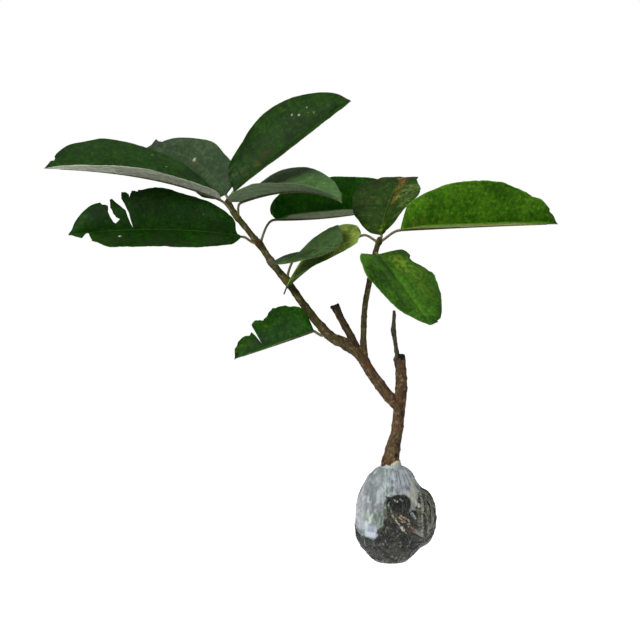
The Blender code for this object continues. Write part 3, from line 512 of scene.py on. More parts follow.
def leaf_mesh(name, leaf, seed):
    """One leaf: upper skin, lower skin, rim, stalk and midrib ridge, in one object."""
    steps = midrib(leaf, np.linspace(0, 1, 60))
    length = float(np.linalg.norm(np.diff(steps, axis=0), axis=1).sum())
    flat, tris = blade_mesh(leaf, length, seed)
    u, v = blade_coordinates(leaf, length, flat)
    points, up = raised(leaf, flat, u, v, length, seed)
    a, b, c = (points[tris[:, k]] for k in range(3))
    normal = np.zeros_like(points)
    for k in range(3):
        np.add.at(normal, tris[:, k], np.cross(b - a, c - a))
    normal = unit(normal)
    if (normal * up).sum() < 0:
        tris, normal = tris[:, ::-1], -normal
    n = len(points)
    edges = np.concatenate([tris[:, [0, 1]], tris[:, [1, 2]], tris[:, [2, 0]]])
    _, first, count = np.unique(np.sort(edges, axis=1), axis=0, return_index=True, return_counts=True)
    rim = edges[first[count == 1]]
    faces = [tuple(t) for t in tris] + [tuple(t + n) for t in tris[:, ::-1]]
    faces += [(b, a, a + n, b + n) for a, b in rim]
    skins = np.concatenate([points + normal * LEAF_THICK / 2, points - normal * LEAF_THICK / 2])
    stalk, stalk_faces = tube_shell(*stalk_path(leaf, seed), STALK_SIDES)
    obj = mesh_from(name + "_blade", *gathered([(skins, faces), (stalk, stalk_faces)]))
    slots = [0] * len(tris) + [1] * (len(tris) + len(rim)) + [2] * len(stalk_faces)
    obj.data.polygons.foreach_set("material_index", slots[:len(obj.data.polygons)])

    stain = np.zeros((2, n, 4))  # colour and cover on the upper and on the lower face
    # the marks hold stains and, on some leaves, painted sheen and painted light
    for mu, mv, size, colour, strength in leaf.get("marks", []):
        at = np.argmin(np.hypot((u - mu) * length, (v - mv) * leaf["half"]))
        gap = np.linalg.norm(flat - flat[at], axis=1)
        ragged = 1 + 0.35 * tangle(np.c_[flat / (size * 0.8 + 0.6), u * 0], seed + 41 + mu * 9, 2)
        cover = strength * clamp((size * ragged - gap) / (size * 0.6))
        if size > 4:
            cover = cover * clamp(0.75 + 1.5 * tangle(np.c_[flat / 4, u * 0], seed + 47))
        for face, share in zip(stain, (1.0, 0.5)):
            face[:] = laid(face, np.array(srgb(colour) + (1.0,)), share * cover[:, None])
    m = len(stalk)
    stain = np.concatenate([*stain, np.zeros((m, 4))])
    blade = np.concatenate([np.c_[u, v, np.full(n, seed)]] * 2 + [np.full((m, 3), (0.0, 0.0, seed))])
    plane = np.c_[np.concatenate([flat, flat, stalk[:, :2]]), np.full(2 * n + m, seed * 40.0)]
    write(obj.data, blade=blade, flat=plane, stain=stain[:, :3], stained=stain[:, 3])
    return obj, length


# ---------------------------------------------------------------- materials
def put(tree, socket, value):
    """A link, a number or a colour on a socket; colours are display values from 0 to 255."""
    if isinstance(value, bpy.types.NodeSocket):
        tree.links.new(value, socket)
    elif isinstance(value, tuple):
        socket.default_value = srgb(value) + (1.0,)
    else:
        socket.default_value = value


def node(tree, kind, inputs, **settings):
    """The outputs of a new node with the given inputs, by name or number, and settings."""
    made = tree.nodes.new("ShaderNode" + kind)
    for key, value in settings.items():
        setattr(made, key, value)
    for key, value in inputs.items():
        put(tree, made.inputs[key], value)
    return made.outputs


def smooth_ramp(tree, value, lo, hi, out_lo, out_hi):
    spans = {"Value": value, "From Min": lo, "From Max": hi, "To Min": out_lo, "To Max": out_hi}
    return node(tree, "MapRange", spans, interpolation_type="SMOOTHSTEP")[0]


class Shader:
    """A node material put together a call at a time."""

    def __init__(self, name):
        self.mat = bpy.data.materials.new(name)
        self.mat.use_nodes = True
        self.tree = self.mat.node_tree
        self.tree.nodes.clear()

    def node(self, kind, inputs, **settings):
        return node(self.tree, kind, inputs, **settings)

    def skin(self, colour, rough, specular, relief=None, coat=None):
        """The material, with a relief of (height, strength, depth) and a coat of (weight, roughness)."""
        inputs = {"Base Color": colour, "Roughness": rough, "Specular IOR Level": specular}
        if relief:
            bump = dict(zip(("Height", "Strength", "Distance"), relief))
            inputs["Normal"] = self.node("Bump", bump)[0]
        if coat:
            inputs["Coat Weight"], inputs["Coat Roughness"] = coat
        self.node("OutputMaterial", {0: self.node("BsdfPrincipled", inputs)[0]})
        return self.mat

    def attribute(self, name, output="Fac"):
        return self.node("Attribute", {}, attribute_name=name)[output]

    def split(self, vector):
        return self.node("SeparateXYZ", {0: vector})

    def math(self, operation, *values):
        return self.node("Math", dict(enumerate(values)), operation=operation)[0]

    def mul(self, a, b):
        return self.math("MULTIPLY", a, b)

    def add(self, a, b):
        return self.math("ADD", a, b)

    def sub(self, a, b):
        return self.math("SUBTRACT", a, b)

    def noise(self, vector, scale, detail=3.0, rough=0.6):
        return self.node("TexNoise", dict(Vector=vector, Scale=scale, Detail=detail, Roughness=rough))["Fac"]

    def cells(self, vector, scale, feature="F1"):
        return self.node("TexVoronoi", dict(Vector=vector, Scale=scale), feature=feature)["Distance"]

    def ramp(self, value, lo, hi, out_lo=0.0, out_hi=1.0):
        return smooth_ramp(self.tree, value, lo, hi, out_lo, out_hi)

    def blend(self, share, a, b):
        return self.node("Mix", {0: share, 6: a, 7: b}, data_type="RGBA")[2]

    def layers(self, colour, *over):
        """The colour with pairs of (share, colour) laid over it in turn."""
        for share, tint in over:
            colour = self.blend(share, colour, tint)
        return colour

    def stained(self, share=1.0):
        """The layer of painted marks: stains, and on some leaves painted sheen and painted light, on the bark
        painted shade.
        """
        return self.mul(self.attribute("stained"), share), self.attribute("stain", "Color")


class BladeShader(Shader):
    """A leaf's shader, with masks of its midrib, veins and fine net, and its unevenness at three grains."""

    def __init__(self, name, length):
        super().__init__(name)
        u, v, _ = self.split(self.attribute("blade", "Vector"))
        self.plane = self.attribute("flat", "Vector")
        self.reach = self.math("ABSOLUTE", v)
        start = self.sub(u, self.mul(self.mul(self.reach, self.reach), VEIN_SWEEP))
        turn = self.add(self.mul(start, length / VEIN_GAP), self.mul(self.math("SIGN", v), VEIN_SHIFT))
        off = self.sub(0.5, self.math("ABSOLUTE", self.sub(self.math("FRACT", turn), 0.5)))
        self.vein = self.mul(self.ramp(off, 0.02, 0.1, 1.0, 0.0), self.ramp(self.reach, 0.75, 1.0, 1.0, 0.15))
        self.rib = self.ramp(self.math("ABSOLUTE", self.split(self.plane)[1]), 0.35, 1.0, 1.0, 0.0)
        self.net = self.ramp(self.cells(self.plane, 0.42, "DISTANCE_TO_EDGE"), 0.0, 0.09, 1.0, 0.0)
        self.patch, self.blot = self.noise(self.plane, 0.03, 3.0, 0.55), self.noise(self.plane, 0.13)
        self.fine = self.noise(self.plane, 0.7)


STALK, SPECK = (126, 120, 86), (150, 165, 80)


def upper_face(name, leaf, length):
    sh = BladeShader(name, length)
    dark, light, most = leaf["dark"], leaf["light"], leaf.get("flecked", 0.4)
    flush = leaf.get("flush", tuple(c * 1.35 + k for c, k in zip(light, (8, 14, 0))))
    vein_colour = shade(light, 1.25, 14)
    level = sh.add(sh.mul(sh.patch, 0.4), sh.add(sh.mul(sh.blot, 0.4), sh.mul(sh.fine, 0.2)))
    fleck = sh.mul(sh.ramp(sh.noise(sh.plane, 0.24, 4.0, 0.62), 0.5, 0.68),
                   sh.ramp(sh.patch, 0.35, 0.6, most * 0.4, most))
    speck = sh.mul(sh.ramp(sh.cells(sh.plane, 0.12), 0.045, 0.075, 1.0, 0.0), sh.ramp(sh.blot, 0.5, 0.56))
    colour = sh.layers(dark, (sh.ramp(level, 0.39, 0.61), light),
                       (sh.ramp(sh.fine, 0.5, 0.72, 0.0, 0.6), shade(dark, 0.55)),
                       (fleck, flush),
                       (sh.mul(sh.net, 0.22), vein_colour), (sh.mul(sh.vein, 0.12), vein_colour),
                       (sh.mul(sh.rib, leaf.get("rib", 0.3)), shade(light, 1.2, 30)),
                       (sh.mul(speck, 0.5), SPECK), (sh.ramp(sh.reach, 0.965, 1.0, 0.0, 0.5), vein_colour),
                       sh.stained())
    height = sh.sub(sh.mul(sh.fine, 0.25), sh.add(sh.mul(sh.vein, 0.2), sh.mul(sh.net, 0.1)))
    return sh.skin(colour, sh.add(0.42, sh.mul(sh.fine, 0.12)), 0.06, (height, 0.5, 0.0005))


def lower_face(name, leaf, length):
    sh = BladeShader(name, length)
    under = leaf["under"]
    colour = sh.layers(shade(under, 0.84), (sh.ramp(sh.blot, 0.38, 0.62), under),
                       (sh.mul(sh.vein, 0.45), shade(under, 1.12)), (sh.mul(sh.net, 0.25), shade(under, 0.8)),
                       sh.stained(0.7))
    height = sh.add(sh.mul(sh.vein, 0.5), sh.mul(sh.net, 0.2))
    return sh.skin(colour, 0.68, 0.2, (height, 0.7, 0.0005))


def stalk_skin(name):
    sh = Shader(name)
    mottle = sh.noise(sh.attribute("flat", "Vector"), 0.5)
    tone = sh.blend(sh.ramp(mottle, 0.35, 0.65), shade(STALK, 0.72), STALK)
    return sh.skin(tone, 0.55, 0.25, (mottle, 0.4, 0.0004))


for number, (node_name, leaf) in enumerate(LEAVES.items()):
    blade, blade_length = leaf_mesh(node_name, leaf, number + 1)
    blade.data.materials.append(upper_face(node_name + "_upper", leaf, blade_length))
    blade.data.materials.append(lower_face(node_name + "_lower", leaf, blade_length))
    blade.data.materials.append(stalk_skin(node_name + "_stalk"))
    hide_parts(node_name)
    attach(blade, BODY)


# ---------------------------------------------------------------- trunk, boughs, stub and dead twig
VOXEL = 0.54          # grain of the joined bark mesh
BARK_GROW = 0.5       # the bark stands this far outside the limbs' own radii
DEAD_AGE = 0.5        # how old the bark of the dead twig looks, 0 to 1
BARK_FROM = 99.0      # the trunk is modelled from here up, inside the neck of the wrap
DOME = {"trunk": 0.2, "main_bough": 0.8, "side_bough": 0.8, "dead_twig": 0.6}
DOME_TURNS = (0.35, 0.7, 1.05, 1.35, 1.52)
# least and greatest distance between the rings, limb by limb
RING_GAPS = [(14, 26), (9, 22), (8, 14), (9, 24), (6, 12)]
TRUNK, MAIN, STUB, SIDE, DEAD = range(len(LIMBS))
# knobs on the bark: x, y, z, height, radius
KNOBS = [
    (-71, -3, 243.5, 1.5, 2.2), (-64, -3, 240.5, 1.2, 2.0), (-56.5, -3, 236.5, 1.6, 2.4),
    (-50, -3, 232, 1.0, 2.0), (-67, 3, 256, 1.0, 2.4), (-47, -4, 244, 0.9, 2.6),
    (-1.2, -3, 253.5, 1.2, 1.5), (0.0, -3, 226, 1.6, 2.6), (-69.5, 11, 282.5, 1.5, 2.2),
    (-61, 12, 286.5, 0.9, 1.8), (-23, -4, 216, 0.7, 2.5), (14, -2, 205, 0.8, 2.5), (-2, 7, 150, 0.8, 3.0),
    (-30, 5, 236, 0.9, 3.0), (-11, -4, 108, 0.9, 2.6), (-12, 2, 106, 1.0, 3.0),
]
FOOT_SWELL, FOOT_SPREAD = 0.7, 3.0          # swelling under each leaf stalk
RING, RING_WIDTH, SWELL, SWELL_WIDTH = 0.34, 0.8, 0.3, 3.2  # a ring's ridge and the swelling round it
FURROW, CRACK, LUMP, BEAD = 0.2, 0.28, 0.55, 0.3            # heights of the bark's relief
# coloured places on the bark: x, y, z, radius, colour, strength; some are painted shade, noted beside them
BARK_MARKS = [
    (-29, -5, 221, 6.5, (140, 88, 46), 0.5), (4, -6, 184, 8, (126, 82, 46), 0.38),
    # the dark place at (3.5, -8, 120) is painted shade in a notch of the trunk just above the film
    (-8, -5, 190, 5.0, (122, 92, 50), 0.5), (3.5, -8, 120, 3.2, (34, 22, 16), 0.9),
    (-11.2, -4, 113.5, 2.6, (40, 24, 20), 0.8), (-2, -8, 127, 5, (140, 118, 88), 0.6),
    (-6, -8, 113, 5, (104, 66, 34), 0.7), (8.6, -3, 231, 6.6, (22, 17, 18), 0.97),
    (8.5, 3, 231.5, 6.4, (26, 20, 20), 0.97), (3.4, -3, 224, 3.6, (92, 62, 44), 0.8),
    (8, -6, 219, 3.6, (116, 84, 56), 0.6), (-66, 11, 286, 8.5, (36, 23, 23), 0.95),
    # the dark places at (12.5, -2, 190), (13, -2, 165) and (5, -3, 134) are painted shade over the bark's own
    # brown down the trunk's right side
    (12.5, -2, 190, 6, (42, 27, 20), 0.7), (13, -2, 165, 7, (46, 30, 22), 0.6),
    (5, -3, 134, 6, (42, 27, 20), 0.6), (-60, 9, 275, 5, (84, 52, 40), 0.6),
    (-41, -2, 243, 5.0, (84, 52, 36), 0.6), (-57, -4, 238, 5.5, (66, 44, 28), 0.55),
    (-1, -3, 254, 2.6, (46, 32, 28), 0.7), (-36, -4, 229, 4.6, (124, 86, 50), 0.5),
    (7.5, -6, 176, 3.0, (60, 36, 28), 0.6), (-148, 5, 353, 6, (64, 38, 20), 0.8),
    (-135, 3, 334, 5.5, (118, 110, 98), 0.65), (-119, 1, 313, 6, (108, 102, 40), 0.75),
    (-125, 2, 323, 3.6, (34, 22, 20), 0.7), (-183, 12, 402, 9, (78, 58, 26), 0.65),
    (-174, 10, 384, 6, (104, 98, 42), 0.6),
]
SPUR_FOOT, SPUR_TIP, SPUR_R = (-117.0, 5.0, 309.0), (-121.5, 4.0, 297.5), 1.1
SPUR_STEPS, SPUR_SIDES, LIMB_SIDES = 8, 14, 36


def limb_path(points, step=0.8):
    """Points and radii at an even step on a smooth curve through the given x, y, z, radius."""
    pts = np.array(points, float)
    padded = np.concatenate([2 * pts[:1] - pts[1:2], pts, 2 * pts[-1:] - pts[-2:-1]])
    t = np.linspace(0, 1, 12, endpoint=False)[:, None]
    line = [0.5 * (2 * b + (c - a) * t + (2 * a - 5 * b + 4 * c - d) * t ** 2
                   + (3 * b - a - 3 * c + d) * t ** 3)
            for a, b, c, d in zip(padded, padded[1:], padded[2:], padded[3:])]
    line = np.concatenate(line + [pts[-1:]])
    at = np.concatenate([[0], np.cumsum(np.linalg.norm(np.diff(line[:, :3], axis=0), axis=1))])
    even = np.linspace(0, at[-1], max(4, int(at[-1] / step)))
    return np.stack([np.interp(even, at, line[:, k]) for k in range(4)], 1), even


def rounded(path, height):
    """The path with its end ring carried on over a dome, its height a share of the end radius."""
    last, inner = path[-1], path[-2]
    out = unit(last[:3] - inner[:3])
    dome = [np.r_[last[:3] + out * last[3] * height * math.sin(a), last[3] * max(0.12, math.cos(a))]
            for a in DOME_TURNS]
    return np.concatenate([path, dome])


def vertex_array(items, key):
    values = np.zeros(len(items) * 3)
    items.foreach_get(key, values)
    return values.reshape(-1, 3)


def limbs_object():
    """All limbs joined in one skin, with rings, furrows, cracks and knobs raised on it."""
    shells, rows = [], []
    for number, (name, points) in enumerate(LIMBS.items()):
        path, at = limb_path(points)
        path[:, 3] += BARK_GROW
        if name == "trunk":
            keep = path[:, 2] >= BARK_FROM
            path, at = path[keep], at[keep]
        heading = unit(np.gradient(path[:, :3], axis=0))
        rows.append(np.c_[path, at, at[-1] - at, np.full(len(path), number), heading])
        shell = rounded(path, DOME[name]) if name in DOME else path
        shells.append(tube_shell(shell[:, :3], shell[:, 3], LIMB_SIDES))
    spur = np.linspace(SPUR_FOOT, SPUR_TIP, SPUR_STEPS)
    shells.append(tube_shell(spur, np.linspace(SPUR_R * 1.3, SPUR_R * 0.6, SPUR_STEPS), SPUR_SIDES))
    raw = mesh_from("bark_raw", *gathered(shells))
    remesh = raw.modifiers.new("join", "REMESH")
    remesh.mode = "VOXEL"
    remesh.voxel_size = VOXEL * MM
    soft = raw.modifiers.new("soft", "SMOOTH")
    soft.iterations, soft.factor = 6, 0.5
    mesh = bpy.data.meshes.new_from_object(raw.evaluated_get(bpy.context.evaluated_depsgraph_get()))
    bpy.data.objects.remove(raw, do_unlink=True)

    p = vertex_array(mesh.vertices, "co") / MM
    normal = vertex_array(mesh.vertex_normals, "vector")
    axis = np.concatenate(rows)
    closest = axis[nearest(axis[:, :3], p)[0]]
    radius, along, end, limb = closest[:, 3:7].T
    d, q = closest[:, 7:], p - closest[:, :3]
    drop = (q * d).sum(1)
    along = along + drop
    around = q - d * drop[:, None]

    height, ring = np.zeros(len(p)), np.zeros(len(p))
    rng = random.Random(41)
    wobble = tangle(p / 4.0, 3, 2)
    for number, (lo, hi) in enumerate(RING_GAPS):
        here = limb == number
        length = axis[axis[:, 6] == number, 4].max()
        nodes, at = [], rng.uniform(4, hi)
        while at < length:
            nodes.append(at)
            at += rng.uniform(lo, hi) * (0.55 if number == MAIN and at > length - 60 else 1)
        gap = np.abs(along[here, None] - np.array(nodes)[None, :] + 0.9 * wobble[here, None]).min(1)
        size = np.clip(radius[here] / 6, 0.3, 1)
        ridge = RING * np.exp(-(gap / RING_WIDTH) ** 2) + SWELL * np.exp(-(gap / SWELL_WIDTH) ** 2)
        height[here] += size * ridge
        ring[here] = np.exp(-(gap / 0.7) ** 2)
    furrow = tangle(around / 1.3 + d * (along / 7.0)[:, None], 5)
    crack = -np.abs(tangle(around / 2.1 + d * (along / 11.0)[:, None], 7, 2))
    lump = tangle(p / 9.0, 9, 2)
    bead = clamp(tangle(p / 1.4, 13, 1) - 0.38)
    height += np.clip(radius / 6, 0.25, 1.3) * (FURROW * furrow + CRACK * crack + LUMP * lump) + BEAD * bead
    swellings = [(*leaf["foot"], FOOT_SWELL, FOOT_SPREAD) for leaf in LEAVES.values()]
    for x, y, z, rise, spread in KNOBS + swellings:
        height += rise * np.exp(-((p - (x, y, z)) ** 2).sum(1) / spread ** 2)
    height += np.where((limb == STUB) & (end < 3), 0.5 * furrow, 0)
    p = p + normal * height[:, None]

    mesh.vertices.foreach_set("co", (p * MM).ravel())
    mesh.polygons.foreach_set("use_smooth", [True] * len(mesh.polygons))
    # BARK_MARKS laid on: stains, with painted shade on the trunk's right side and in the notch above the film
    stain = np.zeros((len(p), 4))
    for x, y, z, spread, colour, strength in BARK_MARKS:
        gap = np.linalg.norm(p - (x, y, z), axis=1) * (1 + 0.5 * lump + 0.35 * furrow)
        cover = strength * clamp((spread - gap) / (spread * 0.45))
        stain = laid(stain, np.array(srgb(colour) + (1.0,)), cover[:, None])
    main_age, side_age = np.clip(1.0 - along / 230, 0.25, 1), np.clip(0.55 - along / 420, 0.2, 1)
    age = np.select([limb == TRUNK, limb == MAIN, limb == STUB, limb == SIDE],
                    [0.95, main_age, 0.72, side_age], DEAD_AGE)
    write(mesh, stain=stain[:, :3], stained=stain[:, 3], age=age,
          dead=np.select([limb == DEAD, limb == STUB], [0.85, 0.2], 0.0), ring=ring,
          hollow=clamp(-0.8 * furrow - 0.9 * crack - 0.3), pore=clamp(bead * 5),
          grain=around / 1.3 + d * (along / 8.0)[:, None])
    return shown("bark", mesh)


def bark_skin():
    sh = Shader("bark_relief")
    place = sh.attribute("position", "Vector")
    streak = sh.noise(sh.attribute("grain", "Vector"), 1.0, 5.0, 0.62)
    patch, fleck = sh.noise(place, 120.0), sh.noise(place, 900.0)
    furrowed = sh.ramp(streak, 0.3, 0.72)
    young = sh.blend(furrowed, (36, 40, 12), (84, 89, 36))
    old = sh.blend(furrowed, (43, 27, 17), (116, 90, 62))
    grey = sh.blend(sh.ramp(streak, 0.35, 0.65), (44, 42, 34), (88, 84, 68))
    aged = sh.add(sh.attribute("age"), sh.mul(sh.sub(patch, 0.5), 0.9))
    colour = sh.layers(young, (sh.ramp(aged, 0.15, 0.85), old),
                       (sh.ramp(patch, 0.5, 0.66, 0.0, 0.5), (72, 70, 38)),
                       (sh.ramp(sh.noise(place, 190.0, 2.0, 0.5), 0.54, 0.68, 0.0, 0.5), (152, 128, 96)),
                       (sh.mul(sh.attribute("hollow"), 0.55), (48, 32, 24)),
                       (sh.mul(sh.attribute("ring"), 0.4), (64, 46, 30)),
                       (sh.mul(sh.attribute("pore"), 0.12), (146, 124, 92)), (sh.attribute("dead"), grey),
                       (sh.ramp(fleck, 0.45, 0.75, 0.0, 0.35), (52, 38, 28)), sh.stained())
    height = sh.add(sh.mul(streak, 0.6), sh.mul(fleck, 0.4))
    return sh.skin(colour, 0.82, 0.2, (height, 0.8, 0.0006))


bark = limbs_object()
bark.data.materials.append(bark_skin())
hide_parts(*LIMBS)
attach(bark, BODY)


# ---------------------------------------------------------------- root ball in its film
# outline of the milky film seen from the front: x, z
MILK = [
    (-60, 125), (-60, 52), (-42, 42), (-40, 36), (-35.4, 33.2), (-25.5, 31.5), (-21, 32.6), (-18, 42),
    (-12.5, 47), (-12, 65), (-11, 79), (-4.8, 76.9), (-0.4, 79.7), (10.6, 81), (16.1, 79.7), (19.5, 71),
    (17.5, 60.7), (23.8, 66.3), (27, 79), (32, 88), (60, 100), (60, 125),
]
MILK_SOFT = 2.2
# brush strokes on the wrap seen from the front: x0, z0, x1, z1, half width, colour, strength; a few are
# painted shade, a painted highlight and painted glints, noted beside them
WRAP_MARKS = [
    (-36, 100, -38, 50, 7.0, (196, 192, 198), 0.7), (-24, 84, -24, 76, 6.5, (130, 132, 136), 0.6),
    (-16, 104, -17, 84, 3.5, (158, 166, 166), 0.6), (-8, 104, -8, 90, 5.0, (172, 188, 194), 0.6),
    (-21, 96, -21, 72, 2.0, (120, 130, 128), 0.5), (4, 92, 12, 88, 5.5, (160, 164, 184), 0.5),
    (-2, 98, 14, 98, 4.5, (164, 178, 190), 0.5), (21, 92, 23, 80, 4.0, (188, 190, 172), 0.7),
    (13, 108, 25, 98, 3.0, (176, 182, 170), 0.5), (-27, 66, -18, 66, 4.6, (122, 114, 124), 0.75),
    # the first stroke here is a painted highlight, greenish, on the film
    (-32, 56, -25, 53, 5.0, (150, 176, 144), 0.5), (-27, 49, -24, 57, 1.6, (206, 218, 206), 0.7),
    (-34, 43, -23, 42, 5.5, (178, 186, 202), 0.75), (-30, 36, -21, 35, 3.0, (196, 204, 220), 0.9),
    (-18, 60, -15.5, 44, 3.8, (84, 100, 76), 0.85), (-13, 56, -13, 46, 2.0, (66, 84, 66), 0.8),
    (-40, 38, -36, 22, 3.4, (40, 54, 58), 0.85), (-29, 28, -20, 24, 4.6, (26, 40, 38), 0.85),
    (-33, 30, -31, 20, 1.2, (120, 150, 150), 0.6), (-23, 31, -22, 22, 1.0, (110, 140, 138), 0.6),
    # the next two strokes are the dark coir deepened by painted shade of a hollow, and the two after them are
    # painted glints on the film over it
    (-2, 70, 16, 76, 4.2, (22, 26, 24), 0.95), (2, 66, 17, 66, 4.5, (30, 32, 26), 0.9),
    (0, 74.5, 3.5, 72.5, 0.9, (190, 196, 196), 0.9), (6.5, 75.5, 9.5, 73.5, 0.8, (150, 160, 160), 0.8),
    (-7, 69, -2, 58, 1.1, (172, 178, 160), 0.8), (-10, 66, -5, 58, 1.0, (60, 66, 58), 0.8),
    (-11, 72, -9, 56, 1.6, (104, 108, 96), 0.7), (-2, 60, 2, 56, 2.4, (128, 122, 100), 0.6),
    (2, 55, 20, 42, 7.0, (84, 66, 54), 0.75), (6, 57, 15, 53, 1.0, (200, 176, 146), 0.8),
    (-2, 57, 6, 47, 0.9, (188, 178, 156), 0.7), (5, 55, 16, 43, 0.8, (222, 214, 196), 0.75),
    (-9.9, 104, -9.9, 66, 0.8, (196, 214, 200), 0.55), (-8.4, 104, -8.4, 66, 0.7, (112, 130, 120), 0.5),
    (1, 54, 11, 41, 1.1, (214, 208, 184), 0.85), (9, 52, 21, 41, 0.8, (210, 190, 156), 0.8),
    (7, 44, 14, 37, 1.1, (206, 206, 190), 0.8), (15, 53, 17, 46, 0.8, (214, 206, 186), 0.7),
    (4, 52, 8, 46, 0.8, (60, 34, 22), 0.8), (12, 48, 17, 40, 0.9, (66, 30, 16), 0.8),
    # the second stroke here is painted shade along a crease in the film, and the last stroke on the next line
    # is a painted glint
    (19.5, 41.5, 22, 39.5, 2.0, (86, 54, 38), 0.7), (16.5, 58, 31, 36, 1.6, (24, 30, 30), 0.9),
    (24, 38, 33, 30, 1.6, (150, 156, 140), 0.6), (19.5, 57, 23, 54, 1.9, (176, 186, 188), 0.8),
    (14, 82, 27, 66, 2.0, (196, 196, 184), 0.8), (21, 76, 23, 62, 1.4, (170, 170, 156), 0.7),
    (30, 80, 32, 34, 1.3, (156, 160, 144), 0.7), (36, 76, 38, 36, 1.4, (146, 150, 134), 0.65),
    (42, 70, 43, 40, 1.2, (140, 144, 130), 0.6), (27, 62, 29, 36, 1.0, (120, 124, 108), 0.6),
    (-6, 42, 4, 14, 5.0, (58, 58, 48), 0.5), (-12, 20, 12, 12, 3.0, (84, 82, 66), 0.45),
]
FIBRE_DARK, FIBRE_MID, FIBRE_PALE = (9, 10, 8), (53, 54, 44), (136, 138, 122)
FILM_DIM, FILM_BRIGHT, FILM_EDGE = (118, 128, 130), (196, 204, 204), (200, 204, 200)
# heights of the wrap's relief
CRUMPLE, DENT, TUCK, MILK_RISE, STRAND = 1.5, 0.55, (0.4, 1.6), 0.7, (0.5, 0.4)
LIFT = 0.6            # brings the relief back up to the ball's own surface
ROWS, TURNS = 190, 372
BALL_TOP = BALL_H - 0.3
DRAWN_OUT = (620.0, 620.0, 120.0)  # the film's streaks are drawn out upwards
STRANDS = 520
# rows of the gathered rim: height above the ball, radius, depth of its pleats
RIM_ROWS = [(-3.0, 14.6, 0.2), (-1.2, 12.9, 0.35), (0.4, 11.9, 0.5), (2.2, 11.1, 0.55), (3.9, 10.6, 0.55),
            (5.0, 10.3, 0.6), (5.5, 9.8, 0.5), (5.0, 9.3, 0.3), (2.5, 8.9, 0.1), (-2.0, 8.5, 0.0)]
RIM_X, RIM_SLANT, RIM_TURNS = -2.8, 0.2, 160  # the rim climbs to the right


def ball_ring(z):
    """Centre x, half width and half depth of the main lobe at each height, eased over its rings."""
    rings = np.array(BALL_RINGS)
    soft = np.clip(np.minimum(z, BALL_H - z), 0, 3.0)
    return [sum(np.interp(z + soft * k, rings[:, 0], rings[:, c]) for k in (-1, -0.5, 0, 0.5, 1)) / 5
            for c in (1, 2, 3)]


def ball_level(x, y, z):
    """Signed level of the ball: the main lobe and the side bulge, melted into each other."""
    cx, hw, hd = ball_ring(z)
    angle = np.arctan2(y, x - cx)
    mid = np.sin(np.pi * clamp(z / BALL_H))
    uneven = 1 + mid * (0.022 * np.sin(3 * angle + z * 0.07) + 0.016 * np.sin(5 * angle - z * 0.11 + 1.0))
    lobe = (np.hypot((x - cx) / hw, y / hd) / uneven - 1) * hw
    away = sum(((c - at) / r) ** 2 for c, at, r in zip((x, y, z), BULGE_AT, BULGE_R))
    bulge = (np.sqrt(away) - 1) * BULGE_R[0]
    near = np.maximum(0.0, 1 - np.abs(lobe - bulge) / MELT)
    return np.minimum(lobe, bulge) - near * near * MELT / 4


def ball_reach(z, angle):
    """Distance from the lobe's own axis out to the surface, found by halving."""
    cx = ball_ring(z)[0]
    inner, outer = np.zeros_like(z), np.full_like(z, 80.0)
    for _ in range(24):
        r = (inner + outer) / 2
        within = ball_level(cx + r * np.cos(angle), r * np.sin(angle), z) < 0
        inner, outer = np.where(within, r, inner), np.where(within, outer, r)
    return inner


def line_gap(points, a, b):
    """Distance from each point to the line from a to b."""
    t = clamp(((points - a) @ (b - a)) / ((b - a) @ (b - a)))
    return np.linalg.norm(points - a - t[:, None] * (b - a), axis=1)


def signed_gap(polygon, points):
    """Distance to a polygon's edge, above 0 inside it."""
    ring = np.array(polygon, float)
    best = np.min([line_gap(points, a, b) for a, b in zip(ring, np.roll(ring, -1, axis=0))], axis=0)
    return np.where(inside(ring, points), best, -best)


